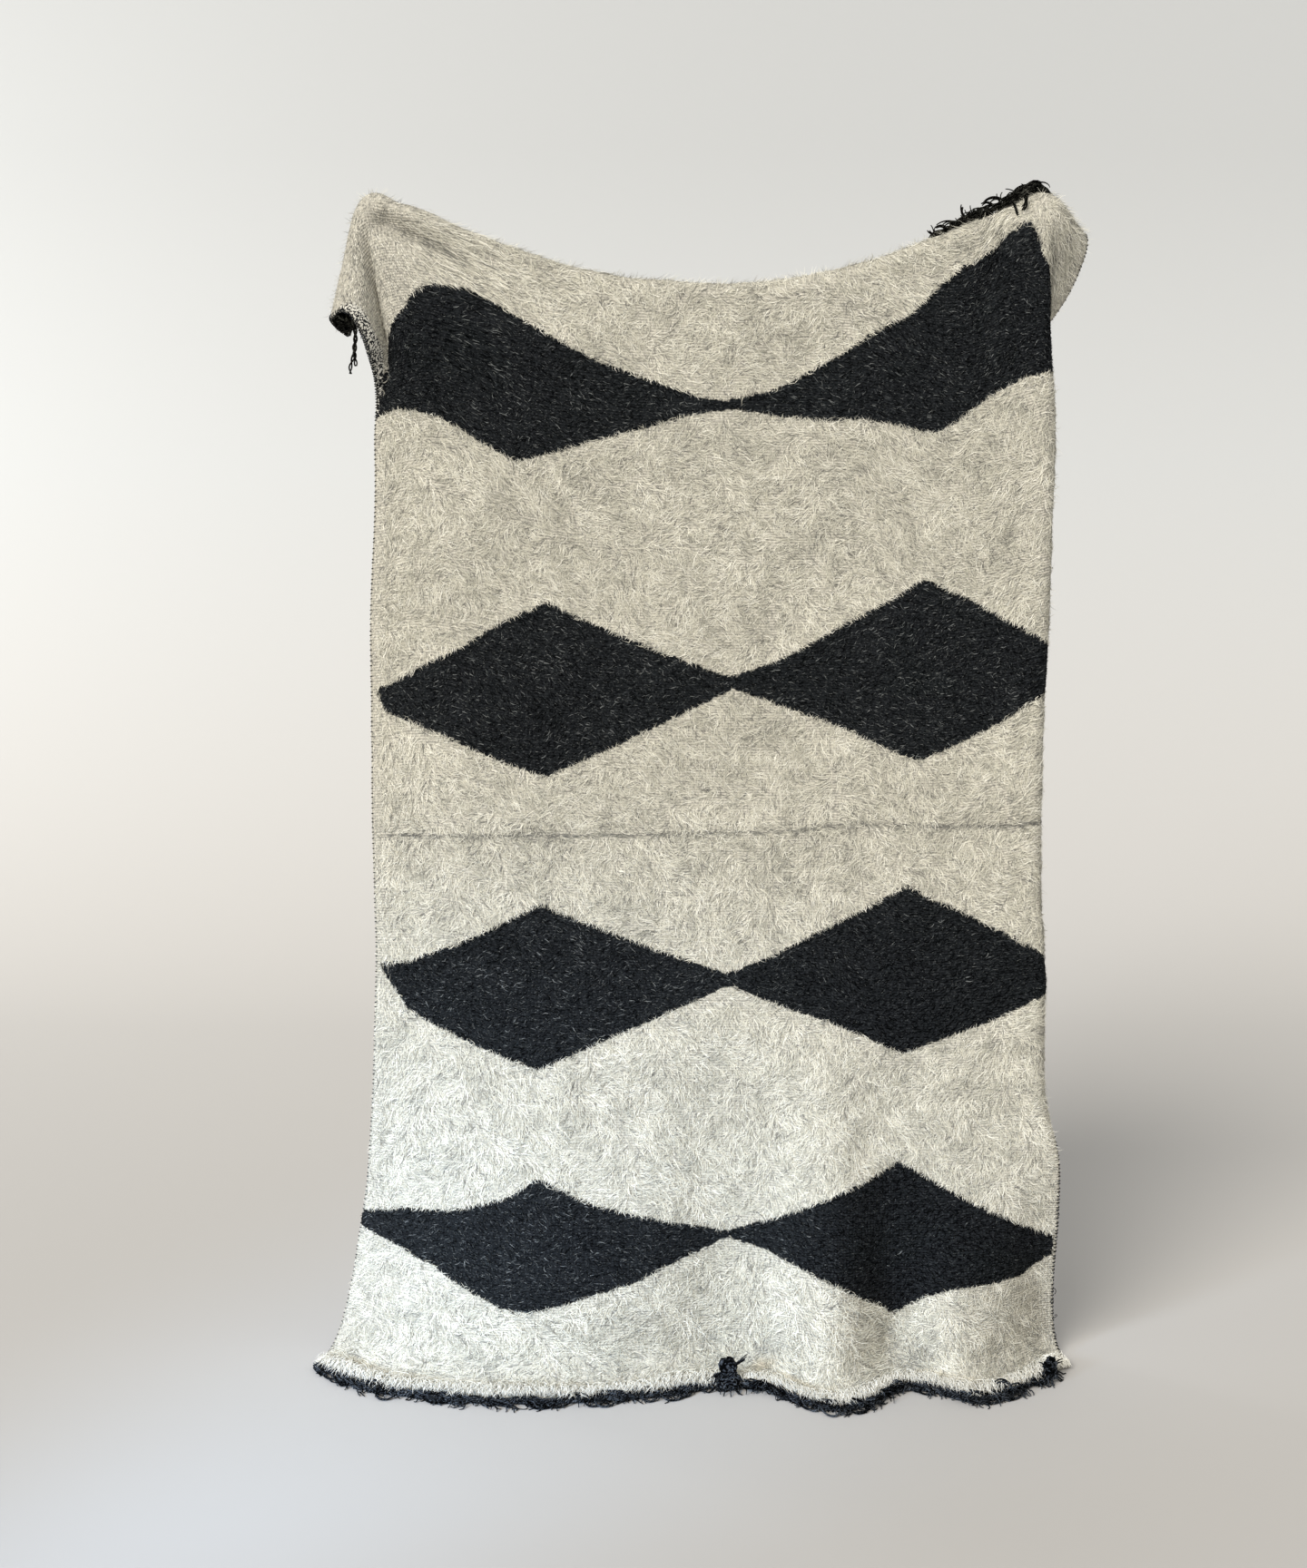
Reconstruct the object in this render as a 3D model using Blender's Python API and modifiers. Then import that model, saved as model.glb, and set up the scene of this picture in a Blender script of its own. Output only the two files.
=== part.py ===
# Blanket hanging from its top edge, in metres, +Z up, the pile side facing -Y.
# The cloth is one woven rectangle, laid out by "across" (side to side) and "along"
# (hem to top edge), then bent into the shape in which it hangs.

import bpy
import bmesh
import numpy as np
from math import pi
from mathutils import Vector

# Start from an empty file
for old in list(bpy.data.objects):
    bpy.data.objects.remove(old, do_unlink=True)
collection = bpy.data.collections.new("blanket")
bpy.context.scene.collection.children.link(collection)

# Driving dimensions of the cloth
WIDTH = 1.32
LENGTH = 2.12
THICKNESS = 0.008
HALF = WIDTH / 2

# How it hangs
FLOOR_RUN = 0.032
FLOOR_BEND = 0.055
ROLL = 0.018
ROLL_REST = 0.10
TURN = 0.020
TURN_REST = 0.12
LEFT_CURL = 0.045
CURL_FROM = 0.42
ORIGIN_HEIGHT = 1.884

# Side edges and quarter lines from hem to top, and how much of the right margin is turned back
SECTION_COLUMNS = ("along", "left_edge", "left_quarter", "right_quarter", "right_outer", "turned")
SECTIONS = (
    (0.00, -0.725, -0.370, 0.300, 0.478, -0.070),
    (0.12, -0.690, -0.355, 0.290, 0.463, -0.070),
    (0.33, -0.645, -0.340, 0.288, 0.458, -0.050),
    (0.57, -0.620, -0.330, 0.293, 0.462, 0.030),
    (0.79, -0.612, -0.326, 0.298, 0.504, 0.085),
    (1.05, -0.614, -0.322, 0.314, 0.496, 0.090),
    (1.30, -0.614, -0.322, 0.329, 0.506, 0.093),
    (1.77, -0.618, -0.338, 0.346, 0.530, 0.110),
    (2.12, -0.750, -0.415, 0.350, 0.540, 0.120),
)
SECTION_ACROSS = (-HALF, -HALF / 2, 0.0, HALF / 2, 0.52)
LEFT_EDGE_EASE = 0.75

# Top edge: how much cloth hangs behind it, and its height above the floor
TOP_COLUMNS = ("across", "flap", "height")
TOP_EDGE = (
    (-0.660, 0.095, 2.010),
    (-0.500, 0.095, 2.022),
    (-0.430, 0.098, 1.995),
    (-0.365, 0.108, 1.966),
    (-0.210, 0.140, 1.909),
    (-0.080, 0.155, 1.884),
    (0.080, 0.150, 1.886),
    (0.220, 0.110, 1.920),
    (0.330, 0.026, 1.962),
    (0.420, 0.004, 1.992),
    (0.500, 0.002, 2.014),
    (0.535, 0.010, 2.022),
    (0.660, 0.022, 2.010),
)

# Upright flutes that open toward the floor
# Columns: across, half width, forward, reach up the cloth
FLUTES = (
    (-0.30, 0.28, 0.040, 0.95),
    (0.01, 0.14, -0.030, 0.70),
    (0.20, 0.14, 0.070, 0.80),
    (0.35, 0.10, -0.020, 0.55),
    (0.45, 0.09, 0.030, 0.50),
    (0.67, 0.17, -0.115, 0.50),
    (-0.68, 0.17, -0.085, 0.70),
)

# Short creases below the two held corners
# Columns: from across, from along, to across, to along, half width, forward
CREASES = (
    (-0.475, 1.995, -0.370, 1.935, 0.036, -0.022),
    (-0.470, 2.035, -0.330, 1.995, 0.030, 0.010),
    (0.500, 2.060, 0.430, 1.880, 0.044, 0.008),
    (0.470, 2.050, 0.350, 1.900, 0.040, -0.006),
)
# Shares of a crease's length: where it begins and ends, and how slowly it does
CREASE_BEGINS = -0.25
CREASE_RISES = 0.30
CREASE_ENDS = 1.25
CREASE_FADES = 0.90

# Held corners: place in the flat cloth (across, below the top) and in the hanging one (side, height)
LEFT_HELD = (-0.490, 0.095, -0.598, 2.030)
RIGHT_HELD = (0.535, 0.022, 0.522, 2.032)
CAP = 0.028
# The cloth fans out of a held corner within the first distance and no longer past the second
FAN_FROM = 0.13
FAN_TO = 0.42
FAN_INWARD = 2.6
FAN_OUTWARD = 0.8
# One row per direction out of the corner, in degrees
FAN_COLUMNS = ("angle", "inward", "forward", "stretch")
LEFT_FAN = (
    (-180, 0.96, -0.05, 1.00),
    (-120, 0.50, -0.15, 1.00),
    (-70, 0.12, -0.16, 1.10),
    (-35, -0.05, -0.10, 1.35),
    (-20, -0.10, -0.08, 1.48),
    (-8, -0.17, -0.02, 1.46),
    (4, -0.19, 0.08, 1.36),
    (15, -0.10, 0.18, 1.22),
    (28, -0.01, 0.21, 1.16),
    (40, 0.06, 0.18, 1.13),
    (50, 0.10, 0.11, 1.11),
    (57, 0.14, 0.00, 1.09),
    (64, 0.17, -0.09, 1.07),
    (71, 0.17, -0.01, 1.04),
    (80, 0.20, 0.04, 1.02),
    (95, 0.33, 0.04, 1.00),
    (115, 0.52, 0.02, 1.00),
    (140, 0.78, 0.00, 1.00),
    (180, 0.96, 0.00, 1.00),
)
RIGHT_FAN = (
    (-180, 0.96, -0.05, 1.00),
    (-120, 0.50, -0.15, 1.00),
    (-60, -0.20, -0.50, 1.00),
    (-15, -0.50, -0.70, 1.00),
    (0, -0.56, -0.68, 1.00),
    (25, -0.48, -0.58, 1.00),
    (45, -0.25, -0.48, 1.00),
    (60, -0.04, -0.28, 1.00),
    (75, -0.02, -0.06, 1.00),
    (88, -0.02, 0.04, 1.00),
    (105, 0.20, 0.05, 1.00),
    (125, 0.50, 0.00, 1.00),
    (150, 0.82, 0.00, 1.00),
    (180, 0.96, 0.00, 1.00),
)

# Wool colours
CREAM = (0.56, 0.53, 0.44)
CHARCOAL = (0.018, 0.021, 0.022)
WOOL_ROUGHNESS = 0.95

# Grid lines of the cloth solid: from, to, number of steps
ACROSS_STEPS = ((-0.66, -0.38, 17), (-0.38, 0.10, 9), (0.10, 0.34, 6), (0.34, 0.66, 18))
ALONG_STEPS = ((0.00, 0.13, 5), (0.13, 0.60, 7), (0.60, 1.60, 9), (1.60, 1.92, 9), (1.92, 2.12, 15))


def smooth(t):
    t = np.clip(t, 0.0, 1.0)
    return t * t * (3 - 2 * t)


def swell(t):
    return np.where(np.abs(t) < 1, 0.5 + 0.5 * np.cos(pi * t), 0.0)


def rise(t, low, high, low_slope, high_slope):
    c = np.clip(t, 0.0, 1.0)
    value = (1 + 2 * c) * (1 - c) ** 2 * low + c * (1 - c) ** 2 * low_slope
    value = value + c * c * (3 - 2 * c) * high + c * c * (c - 1) * high_slope
    return value + np.minimum(t, 0.0) * low_slope + np.maximum(t - 1, 0.0) * high_slope


def column(table, names, name, at):
    """Smooth curve through one column of a table, straight beyond its ends."""
    rows = np.array(table, float)
    xs = rows[:, 0]
    ys = rows[:, names.index(name)]
    slopes = np.gradient(ys, xs)
    k = np.clip(np.searchsorted(xs, at) - 1, 0, len(xs) - 2)
    step = xs[k + 1] - xs[k]
    return rise((at - xs[k]) / step, ys[k], ys[k + 1], step * slopes[k], step * slopes[k + 1])


def sideways(across, along):
    """Sideways place of the cloth before the right margin turns back."""
    names = ("left_edge", "left_quarter", None, "right_quarter", "right_outer")
    lines = [column(SECTIONS, SECTION_COLUMNS, n, along) if n else 0 * along for n in names]
    gaps = np.diff(SECTION_ACROSS)
    grades = [(lines[i + 1] - lines[i]) / gaps[i] for i in range(4)]
    slopes = [LEFT_EDGE_EASE * grades[0]]
    for i in (1, 2, 3):
        slopes.append((grades[i - 1] * gaps[i] + grades[i] * gaps[i - 1]) / (gaps[i - 1] + gaps[i]))
    slopes.append(grades[3])
    k = np.clip(np.searchsorted(SECTION_ACROSS, across) - 1, 0, 3)
    result = 0 * along
    for i in range(4):
        t = (across - SECTION_ACROSS[i]) / gaps[i]
        piece = rise(t, lines[i], lines[i + 1], gaps[i] * slopes[i], gaps[i] * slopes[i + 1])
        result = np.where(k == i, piece, result)
    return result


def hanging(across, along):
    """The sheet between the held corners: on the floor, up, over the top edge and down behind."""
    quarter = pi / 2 * ROLL
    bend = pi / 2 * FLOOR_BEND
    crest = LENGTH - column(TOP_EDGE, TOP_COLUMNS, "flap", across)
    height = column(TOP_EDGE, TOP_COLUMNS, "height", across)
    past = along - crest
    over = np.clip((past + quarter) / ROLL, 0, pi)
    behind = np.maximum(past - quarter, 0)
    low_along = FLOOR_RUN + bend
    low_height = THICKNESS / 2 + FLOOR_BEND
    high_along = crest - quarter
    share = (np.clip(along, low_along, high_along) - low_along) / (high_along - low_along)
    up = low_height + share * (height - ROLL - low_height) + ROLL * np.sin(over) - behind
    back = ROLL * (1 - np.cos(over)) + ROLL_REST * behind

    foot = np.clip((along - FLOOR_RUN) / FLOOR_BEND, 0, pi / 2)
    on_floor = along < low_along
    foot_up = THICKNESS / 2 + FLOOR_BEND * (1 - np.cos(foot))
    foot_back = np.minimum(along - FLOOR_RUN, 0) + FLOOR_BEND * (np.sin(foot) - 1)
    up = np.where(on_floor, foot_up, up)
    back = np.where(on_floor, foot_back, back)

    turned = column(SECTIONS, SECTION_COLUMNS, "turned", along)
    start = HALF - turned - pi / 2 * TURN
    margin = np.maximum(across - start, 0)
    around = np.clip(margin / TURN, 0, pi)
    rest = np.maximum(margin - pi * TURN, 0)
    side = sideways(np.minimum(across, start), along) + TURN * np.sin(around) - rest
    back = back + TURN * (1 - np.cos(around)) + TURN_REST * rest

    back = back + LEFT_CURL * np.clip((-across - CURL_FROM) / (HALF - CURL_FROM), 0, 1) ** 2
    for at, half_width, forward, reach in FLUTES:
        back = back - forward * swell((across - at) / half_width) * smooth(1 - along / reach)
    return np.stack([side, back, up], -1)


def fanned(across, along, held, fan, outward):
    """The cloth as rays from a held corner, and how much it follows them."""
    out = outward * (across - held[0])
    down = LENGTH - held[1] - along
    far = np.hypot(out, down)
    angle = np.arctan2(down, out)
    inward = column(fan, FAN_COLUMNS, "inward", np.degrees(angle))
    forward = column(fan, FAN_COLUMNS, "forward", np.degrees(angle))
    stretch = column(fan, FAN_COLUMNS, "stretch", np.degrees(angle))
    fall = np.sqrt(1 - inward ** 2 - forward ** 2)
    cap = CAP * np.tanh(far / CAP)
    rest = (far - cap) * stretch
    side = held[2] + outward * (cap * np.cos(angle) - rest * inward)
    back = ROLL - ROLL * np.tanh(down / CAP) - rest * forward
    up = held[3] - CAP / 2 - cap * np.sin(angle) - rest * fall
    spread = np.hypot(down, np.where(out < 0, FAN_INWARD, FAN_OUTWARD) * out)
    weight = 1 - smooth((spread - FAN_FROM) / (FAN_TO - FAN_FROM))
    return np.stack([side, back, up], -1), weight[..., None]


def cloth(across, along):
    """Middle of the cloth's thickness, measured from the middle of the top edge."""
    across = np.asarray(across, float)
    along = np.asarray(along, float)
    place = hanging(across, along)
    for held, fan, outward in ((LEFT_HELD, LEFT_FAN, -1), (RIGHT_HELD, RIGHT_FAN, 1)):
        ray, weight = fanned(across, along, held, fan, outward)
        place = place * (1 - weight) + ray * weight
    for across_0, along_0, across_1, along_1, half_width, forward in CREASES:
        run = np.hypot(across_1 - across_0, along_1 - along_0)
        way = ((across_1 - across_0) / run, (along_1 - along_0) / run)
        share = ((across - across_0) * way[0] + (along - along_0) * way[1]) / run
        off = (across - across_0) * way[1] - (along - along_0) * way[0]
        fade = smooth((share - CREASE_BEGINS) / CREASE_RISES) * smooth((CREASE_ENDS - share) / CREASE_FADES)
        place[..., 1] -= forward * swell(off / half_width) * fade
    return place - np.array((0.0, ROLL, ORIGIN_HEIGHT))


def material(name, colour, roughness):
    made = bpy.data.materials.new(name)
    made.use_nodes = True
    shader = made.node_tree.nodes["Principled BSDF"]
    shader.inputs["Base Color"].default_value = (*colour, 1.0)
    shader.inputs["Roughness"].default_value = roughness
    shader.inputs["Metallic"].default_value = 0.0
    made.diffuse_color = (*colour, 1.0)
    return made


CREAM_WOOL = material("cream_wool", CREAM, WOOL_ROUGHNESS)
CHARCOAL_WOOL = material("charcoal_wool", CHARCOAL, WOOL_ROUGHNESS)


def add_object(name, mesh, wool):
    made = bpy.data.objects.new(name, mesh)
    made.data.materials.append(wool)
    collection.objects.link(made)
    return made


# The cloth: a grid bent by the function above, thickened by Solidify
def grid_lines(steps):
    lines = [np.linspace(a, b, n, endpoint=False) for a, b, n in steps]
    return np.append(np.concatenate(lines), steps[-1][1])


across_lines = grid_lines(ACROSS_STEPS)
along_lines = grid_lines(ALONG_STEPS)
grid_across, grid_along = np.meshgrid(across_lines, along_lines, indexing="ij")
points = cloth(grid_across, grid_along).reshape(-1, 3)
rows = len(along_lines)
faces = [(i * rows + j, (i + 1) * rows + j, (i + 1) * rows + j + 1, i * rows + j + 1)
         for i in range(len(across_lines) - 1) for j in range(rows - 1)]
sheet = bpy.data.meshes.new("blanket_cloth")
sheet.from_pydata([tuple(p) for p in points], [], faces)
sheet.update()
blanket = add_object("blanket_cloth", sheet, CREAM_WOOL)
thicken = blanket.modifiers.new("thickness", "SOLIDIFY")
thicken.thickness = THICKNESS
thicken.offset = 0.0
thicken.use_even_offset = False
triangles = blanket.modifiers.new("triangles", "TRIANGULATE")
triangles.quad_method = "SHORTEST_DIAGONAL"


# The plaits along both hems: a lumpy band of wool just past the cloth's edge
RING_STEP = 0.0125
RING_SIDES = 8
HANK_LENGTH = 0.105
HANK_DIP = 0.22
TWIST_LENGTH = 0.13
TWIST_DEPTH = 0.14
END_SIZE = 0.45
END_WIDTHS = 2.5
FLAT_BELOW = -0.5
EDGE_INSET = 0.002
EDGE_SAMPLES = 400
# Columns: name, edge, from across, to across, half width, half height, lift, gap to the cloth
PLAITS = (
    ("bottom_plait_left", "hem", -0.656, -0.020, 0.0150, 0.0125, 0.0, 0.0006),
    ("bottom_plait_right", "hem", 0.020, 0.590, 0.0150, 0.0125, 0.0, 0.0006),
    ("top_plait_behind", "top", -0.645, 0.300, 0.0100, 0.0085, 0.0, 0.0010),
    ("top_plait_right", "top", 0.322, 0.535, 0.0120, 0.0125, 0.0115, 0.0006),
)

# Loose ends drawn out of the plaits
# Columns: plait, across, side of the ring, length, then its way sideways, outward and up, and its droop
LOOSE_ENDS = (
    ("top_plait_right", 0.328, 2, 0.026, -0.55, 0.00, 0.85, -0.60),
    ("top_plait_right", 0.354, 2, 0.020, -0.40, 0.00, 0.90, -0.20),
    ("top_plait_right", 0.384, 2, 0.018, -0.35, 0.00, 0.90, 0.00),
    ("top_plait_right", 0.428, 2, 0.034, -0.45, 0.00, 0.90, 0.10),
    ("top_plait_right", 0.456, 2, 0.022, 0.30, 0.00, 0.90, 0.20),
    ("top_plait_right", 0.480, 3, 0.058, 0.05, -0.90, 0.30, 1.00),
    ("top_plait_right", 0.508, 3, 0.054, 0.20, -0.90, 0.30, 1.00),
    ("top_plait_behind", -0.645, 7, 0.075, -0.30, -0.25, -1.00, 0.20),
    ("top_plait_behind", -0.622, 7, 0.058, 0.10, 0.15, -1.00, 0.30),
)
# Short stubs along the hem plaits, longer in the tufts
STUB_SPACING = 0.026
STUB_LENGTH = 0.010
STUB_SWAY = 0.45
STUB_TURN = 1.1
STUB_DROOP = 0.7
TUFT_LENGTH = 0.024
TUFT_HALF_WIDTH = 0.035
TUFTS_AT = (-0.48, -0.30, -0.14, 0.21, 0.27, 0.44)
LOCK_STEPS = 3
LOCK_TAPER = 0.80


def edge_line(edge, places):
    """Points of the cloth's edge with its outward, facing and running directions."""
    along = 0.0 if edge == "hem" else LENGTH
    inner = EDGE_INSET if edge == "hem" else LENGTH - EDGE_INSET
    lines = grid_lines(ACROSS_STEPS)
    rim = cloth(lines, np.full(len(lines), along))
    inside = cloth(lines, np.full(len(lines), inner))
    outward = rim - inside
    outward /= np.linalg.norm(outward, axis=1, keepdims=True)
    run = np.gradient(rim, axis=0)
    run /= np.linalg.norm(run, axis=1, keepdims=True)
    facing = np.cross(run, -outward if edge == "hem" else outward)
    result = []
    for field in (rim, outward, facing, run):
        result.append(np.stack([np.interp(places, lines, field[:, i]) for i in range(3)], -1))
    for field in result[1:]:
        field /= np.linalg.norm(field, axis=1, keepdims=True)
    return result


def plait_rings(edge, start, end, half_width, half_height, lift, gap):
    """Rings of a plait, its ends drawn in."""
    fine = np.linspace(start, end, EDGE_SAMPLES)
    rim = edge_line(edge, fine)[0]
    reach = np.concatenate([[0.0], np.cumsum(np.linalg.norm(np.diff(rim, axis=0), axis=1))])
    count = int(reach[-1] / RING_STEP) + 1
    distance = np.linspace(0.0, reach[-1], count)
    places = np.interp(distance, reach, fine)
    rim, outward, facing, run = edge_line(edge, places)
    angles = 2 * pi * np.arange(RING_SIDES) / RING_SIDES
    level = np.clip((lift - THICKNESS / 2) / half_height, 0, 1)
    beside = half_width * np.sqrt(1 - level ** 2)
    rings = []
    for i in range(count):
        from_end = min(distance[i], reach[-1] - distance[i])
        ends = END_SIZE + (1 - END_SIZE) * float(smooth(from_end / (END_WIDTHS * half_width)))
        hank = 1 - HANK_DIP * (1 - abs(np.sin(pi * distance[i] / HANK_LENGTH)))
        turn = 2 * pi * distance[i] / TWIST_LENGTH
        sizes = ends * hank * (1 - TWIST_DEPTH * (0.5 + 0.5 * np.cos(2 * angles - turn)))
        middle = rim[i] + outward[i] * (beside * sizes[RING_SIDES // 2] + gap) + facing[i] * lift
        if edge == "hem":
            middle = middle + facing[i] * (half_height - THICKNESS / 2)
        ring = []
        for angle, size in zip(angles, sizes):
            point = middle + outward[i] * half_width * size * np.cos(angle)
            point = point + facing[i] * half_height * size * np.sin(angle)
            if edge == "hem" and np.sin(angle) < FLAT_BELOW:
                point[2] = -ORIGIN_HEIGHT
            ring.append(point)
        rings.append(ring)
    return places, rings, (outward, facing, run)


def draw_lock(bm, face, way, length, droop, floor):
    """Pull one face out into a tapering lock."""
    way = Vector(way).normalized()
    for step in range(LOCK_STEPS):
        face = bmesh.ops.extrude_discrete_faces(bm, faces=[face])["faces"][0]
        middle = face.calc_center_median()
        way = (way + Vector((0.0, 0.0, -droop / LOCK_STEPS))).normalized()
        for vertex in face.verts:
            vertex.co = middle + (vertex.co - middle) * LOCK_TAPER + way * length / LOCK_STEPS
            vertex.co.z = max(vertex.co.z, floor)
    return face


def add_plait(name, edge, *shape):
    places, rings, (outward, facing, run) = plait_rings(edge, *shape)
    bm = bmesh.new()
    verts = [[bm.verts.new(point) for point in ring] for ring in rings]
    sides = []
    for i in range(len(rings) - 1):
        row = []
        for k in range(RING_SIDES):
            n = (k + 1) % RING_SIDES
            row.append(bm.faces.new((verts[i][k], verts[i + 1][k], verts[i + 1][n], verts[i][n])))
        sides.append(row)
    bm.faces.new(verts[0])
    bm.faces.new(tuple(reversed(verts[-1])))
    bmesh.ops.recalc_face_normals(bm, faces=bm.faces)
    floor = -ORIGIN_HEIGHT
    for plait, at, side, length, sideways_share, outward_share, upward_share, droop in LOOSE_ENDS:
        if plait == name:
            i = min(int(np.searchsorted(places, at)), len(sides) - 1)
            way = run[i] * sideways_share + outward[i] * outward_share + np.array((0, 0, upward_share))
            draw_lock(bm, sides[i][side], way, length, droop, floor)
    if edge == "hem":
        every = round(STUB_SPACING / RING_STEP)
        for number, i in enumerate(range(1, len(sides) - 1, every)):
            tuft = max(float(swell((places[i] - at) / TUFT_HALF_WIDTH)) for at in TUFTS_AT)
            way = outward[i] + run[i] * STUB_SWAY * np.sin(STUB_TURN * number)
            draw_lock(bm, sides[i][0], way, STUB_LENGTH + TUFT_LENGTH * tuft, STUB_DROOP, floor)
    bmesh.ops.triangulate(bm, faces=bm.faces)
    mesh = bpy.data.meshes.new(name)
    bm.to_mesh(mesh)
    bm.free()
    return add_object(name, mesh, CHARCOAL_WOOL)


for row in PLAITS:
    add_plait(*row)


# The two knots on the bottom plait: stacked rings, each with its loose ends
KNOT_SIDES = 10
KNOT_LUMP = 0.12
KNOT_LUMPS = 3
KNOT_TURN = 1.3
# Columns: name, across, distance of its middle from the hem
KNOTS = (("centre_knot", 0.0, 0.0152), ("end_knot", 0.6085, 0.0170))
# Columns: height, half width, lean
CENTRE_RINGS = (
    (0.000, 0.0120, 0.000),
    (0.007, 0.0150, 0.000),
    (0.015, 0.0130, 0.001),
    (0.024, 0.0075, 0.003),
    (0.031, 0.0085, 0.004),
    (0.038, 0.0125, 0.004),
    (0.046, 0.0130, 0.003),
    (0.053, 0.0100, 0.002),
    (0.057, 0.0045, 0.001),
)
END_RINGS = (
    (0.000, 0.0130, 0.000),
    (0.006, 0.0170, 0.000),
    (0.014, 0.0190, 0.000),
    (0.022, 0.0170, 0.001),
    (0.029, 0.0130, 0.002),
    (0.034, 0.0135, 0.003),
    (0.039, 0.0100, 0.003),
    (0.042, 0.0045, 0.003),
)
# Columns: knot, ring, side of the ring, length, then its way sideways, outward and up, and its droop
KNOT_LOCKS = (
    ("centre_knot", 5, 0, 0.030, 0.85, 0.00, 0.75, -0.40),
    ("centre_knot", 4, 4, 0.032, -0.90, 0.30, -0.10, 0.60),
    ("centre_knot", 2, 2, 0.024, 0.25, 0.85, -0.20, 0.50),
    ("end_knot", 1, 1, 0.030, 0.45, 0.80, 0.00, 0.40),
    ("end_knot", 1, 3, 0.026, -0.30, 0.85, 0.00, 0.40),
)


def add_knot(name, across, distance, table):
    rim, outward, facing, run = edge_line("hem", np.array([across]))
    foot = rim[0] + outward[0] * distance
    foot[2] = -ORIGIN_HEIGHT
    bm = bmesh.new()
    rings = []
    for number, (height, half_width, lean) in enumerate(table):
        ring = []
        for k in range(KNOT_SIDES):
            angle = 2 * pi * k / KNOT_SIDES
            lump = 0.5 + 0.5 * np.cos(KNOT_LUMPS * angle + KNOT_TURN * number)
            size = half_width * (1 - KNOT_LUMP * lump)
            point = foot + run[0] * size * np.cos(angle) + outward[0] * size * np.sin(angle)
            point = point + run[0] * lean
            ring.append(bm.verts.new((point[0], point[1], point[2] + height)))
        rings.append(ring)
    sides = []
    for i in range(len(rings) - 1):
        row = []
        for k in range(KNOT_SIDES):
            n = (k + 1) % KNOT_SIDES
            row.append(bm.faces.new((rings[i][k], rings[i][n], rings[i + 1][n], rings[i + 1][k])))
        sides.append(row)
    bm.faces.new(tuple(reversed(rings[0])))
    bm.faces.new(rings[-1])
    bmesh.ops.recalc_face_normals(bm, faces=bm.faces)
    for knot, i, side, length, sideways_share, outward_share, upward_share, droop in KNOT_LOCKS:
        if knot == name:
            way = run[0] * sideways_share + outward[0] * outward_share + np.array((0, 0, upward_share))
            draw_lock(bm, sides[i][side], way, length, droop, -ORIGIN_HEIGHT)
    bmesh.ops.triangulate(bm, faces=bm.faces)
    mesh = bpy.data.meshes.new(name)
    bm.to_mesh(mesh)
    bm.free()
    return add_object(name, mesh, CHARCOAL_WOOL)


for (name, across, distance), table in zip(KNOTS, (CENTRE_RINGS, END_RINGS)):
    add_knot(name, across, distance, table)
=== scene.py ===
# %% [markdown]
# # A hanging wool blanket
# The blanket is one woven rectangle of wool with a brushed pile on its face. It hangs from two
# points near its top corners, sags between them, and its foot lies on the floor. The solids of
# the part already have that shape. Here the cloth gets its pattern, its pile, its edge stitches
# and its plaited yarns.

# %% The packed part
import bpy
import numpy as np
from math import pi, radians
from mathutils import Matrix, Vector


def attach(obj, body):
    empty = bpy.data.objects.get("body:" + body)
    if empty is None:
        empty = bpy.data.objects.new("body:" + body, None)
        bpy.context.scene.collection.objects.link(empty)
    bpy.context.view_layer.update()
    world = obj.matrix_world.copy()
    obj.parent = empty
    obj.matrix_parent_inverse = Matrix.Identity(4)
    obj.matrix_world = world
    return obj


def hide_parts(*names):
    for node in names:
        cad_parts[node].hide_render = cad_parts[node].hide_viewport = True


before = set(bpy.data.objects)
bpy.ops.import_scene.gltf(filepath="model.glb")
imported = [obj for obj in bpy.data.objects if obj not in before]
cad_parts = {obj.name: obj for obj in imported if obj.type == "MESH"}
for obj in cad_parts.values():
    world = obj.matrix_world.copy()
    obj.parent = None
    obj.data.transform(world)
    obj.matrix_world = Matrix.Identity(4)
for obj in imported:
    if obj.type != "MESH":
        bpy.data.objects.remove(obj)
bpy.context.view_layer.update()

print("solids:", sorted(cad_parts))

# %% [markdown]
# ## Camera
# The photograph looks slightly down at the blanket from its front, about 3.7 m away. Putting
# the camera in first means that every later step can be judged from the same view.

# %% Camera
CAMERA_PLACE = (-0.128, -3.718, -0.454)
CAMERA_TILT = 84.03
LENS = 50.0
SENSOR = 36.0

camera = bpy.data.objects.new("camera", bpy.data.cameras.new("camera"))
bpy.context.scene.collection.objects.link(camera)
camera.location = CAMERA_PLACE
camera.rotation_euler = (radians(CAMERA_TILT), 0.0, 0.0)
camera.data.lens = LENS
camera.data.sensor_width = SENSOR
bpy.context.scene.camera = camera
print("camera stands at", CAMERA_PLACE)

# %% [markdown]
# ## The flat cloth and how it hangs
# A weaver knows the blanket as a flat rectangle: "across" runs from side to side and "along"
# from the bottom hem to the top edge. Every stitch and every hair below is placed in that flat
# cloth, and one function bends it into the hanging shape. The tables repeat the measures that
# the solids were made from, so the finer cloth lies in the same folds.

# %% Measures of the hanging cloth
WIDTH = 1.32
LENGTH = 2.12
THICKNESS = 0.008
HALF = WIDTH / 2
FLOOR = -1.884

# What lies on the floor, and the radius of the bend above it
FLOOR_RUN = 0.032
FLOOR_BEND = 0.055
# Radius over the top edge, and how far the cloth behind it stands off for each metre
ROLL = 0.018
ROLL_REST = 0.10
# The same two for the margin that is turned back on the right
TURN = 0.020
TURN_REST = 0.12
# How far the left edge curls back, and from where across
LEFT_CURL = 0.045
CURL_FROM = 0.42

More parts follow.
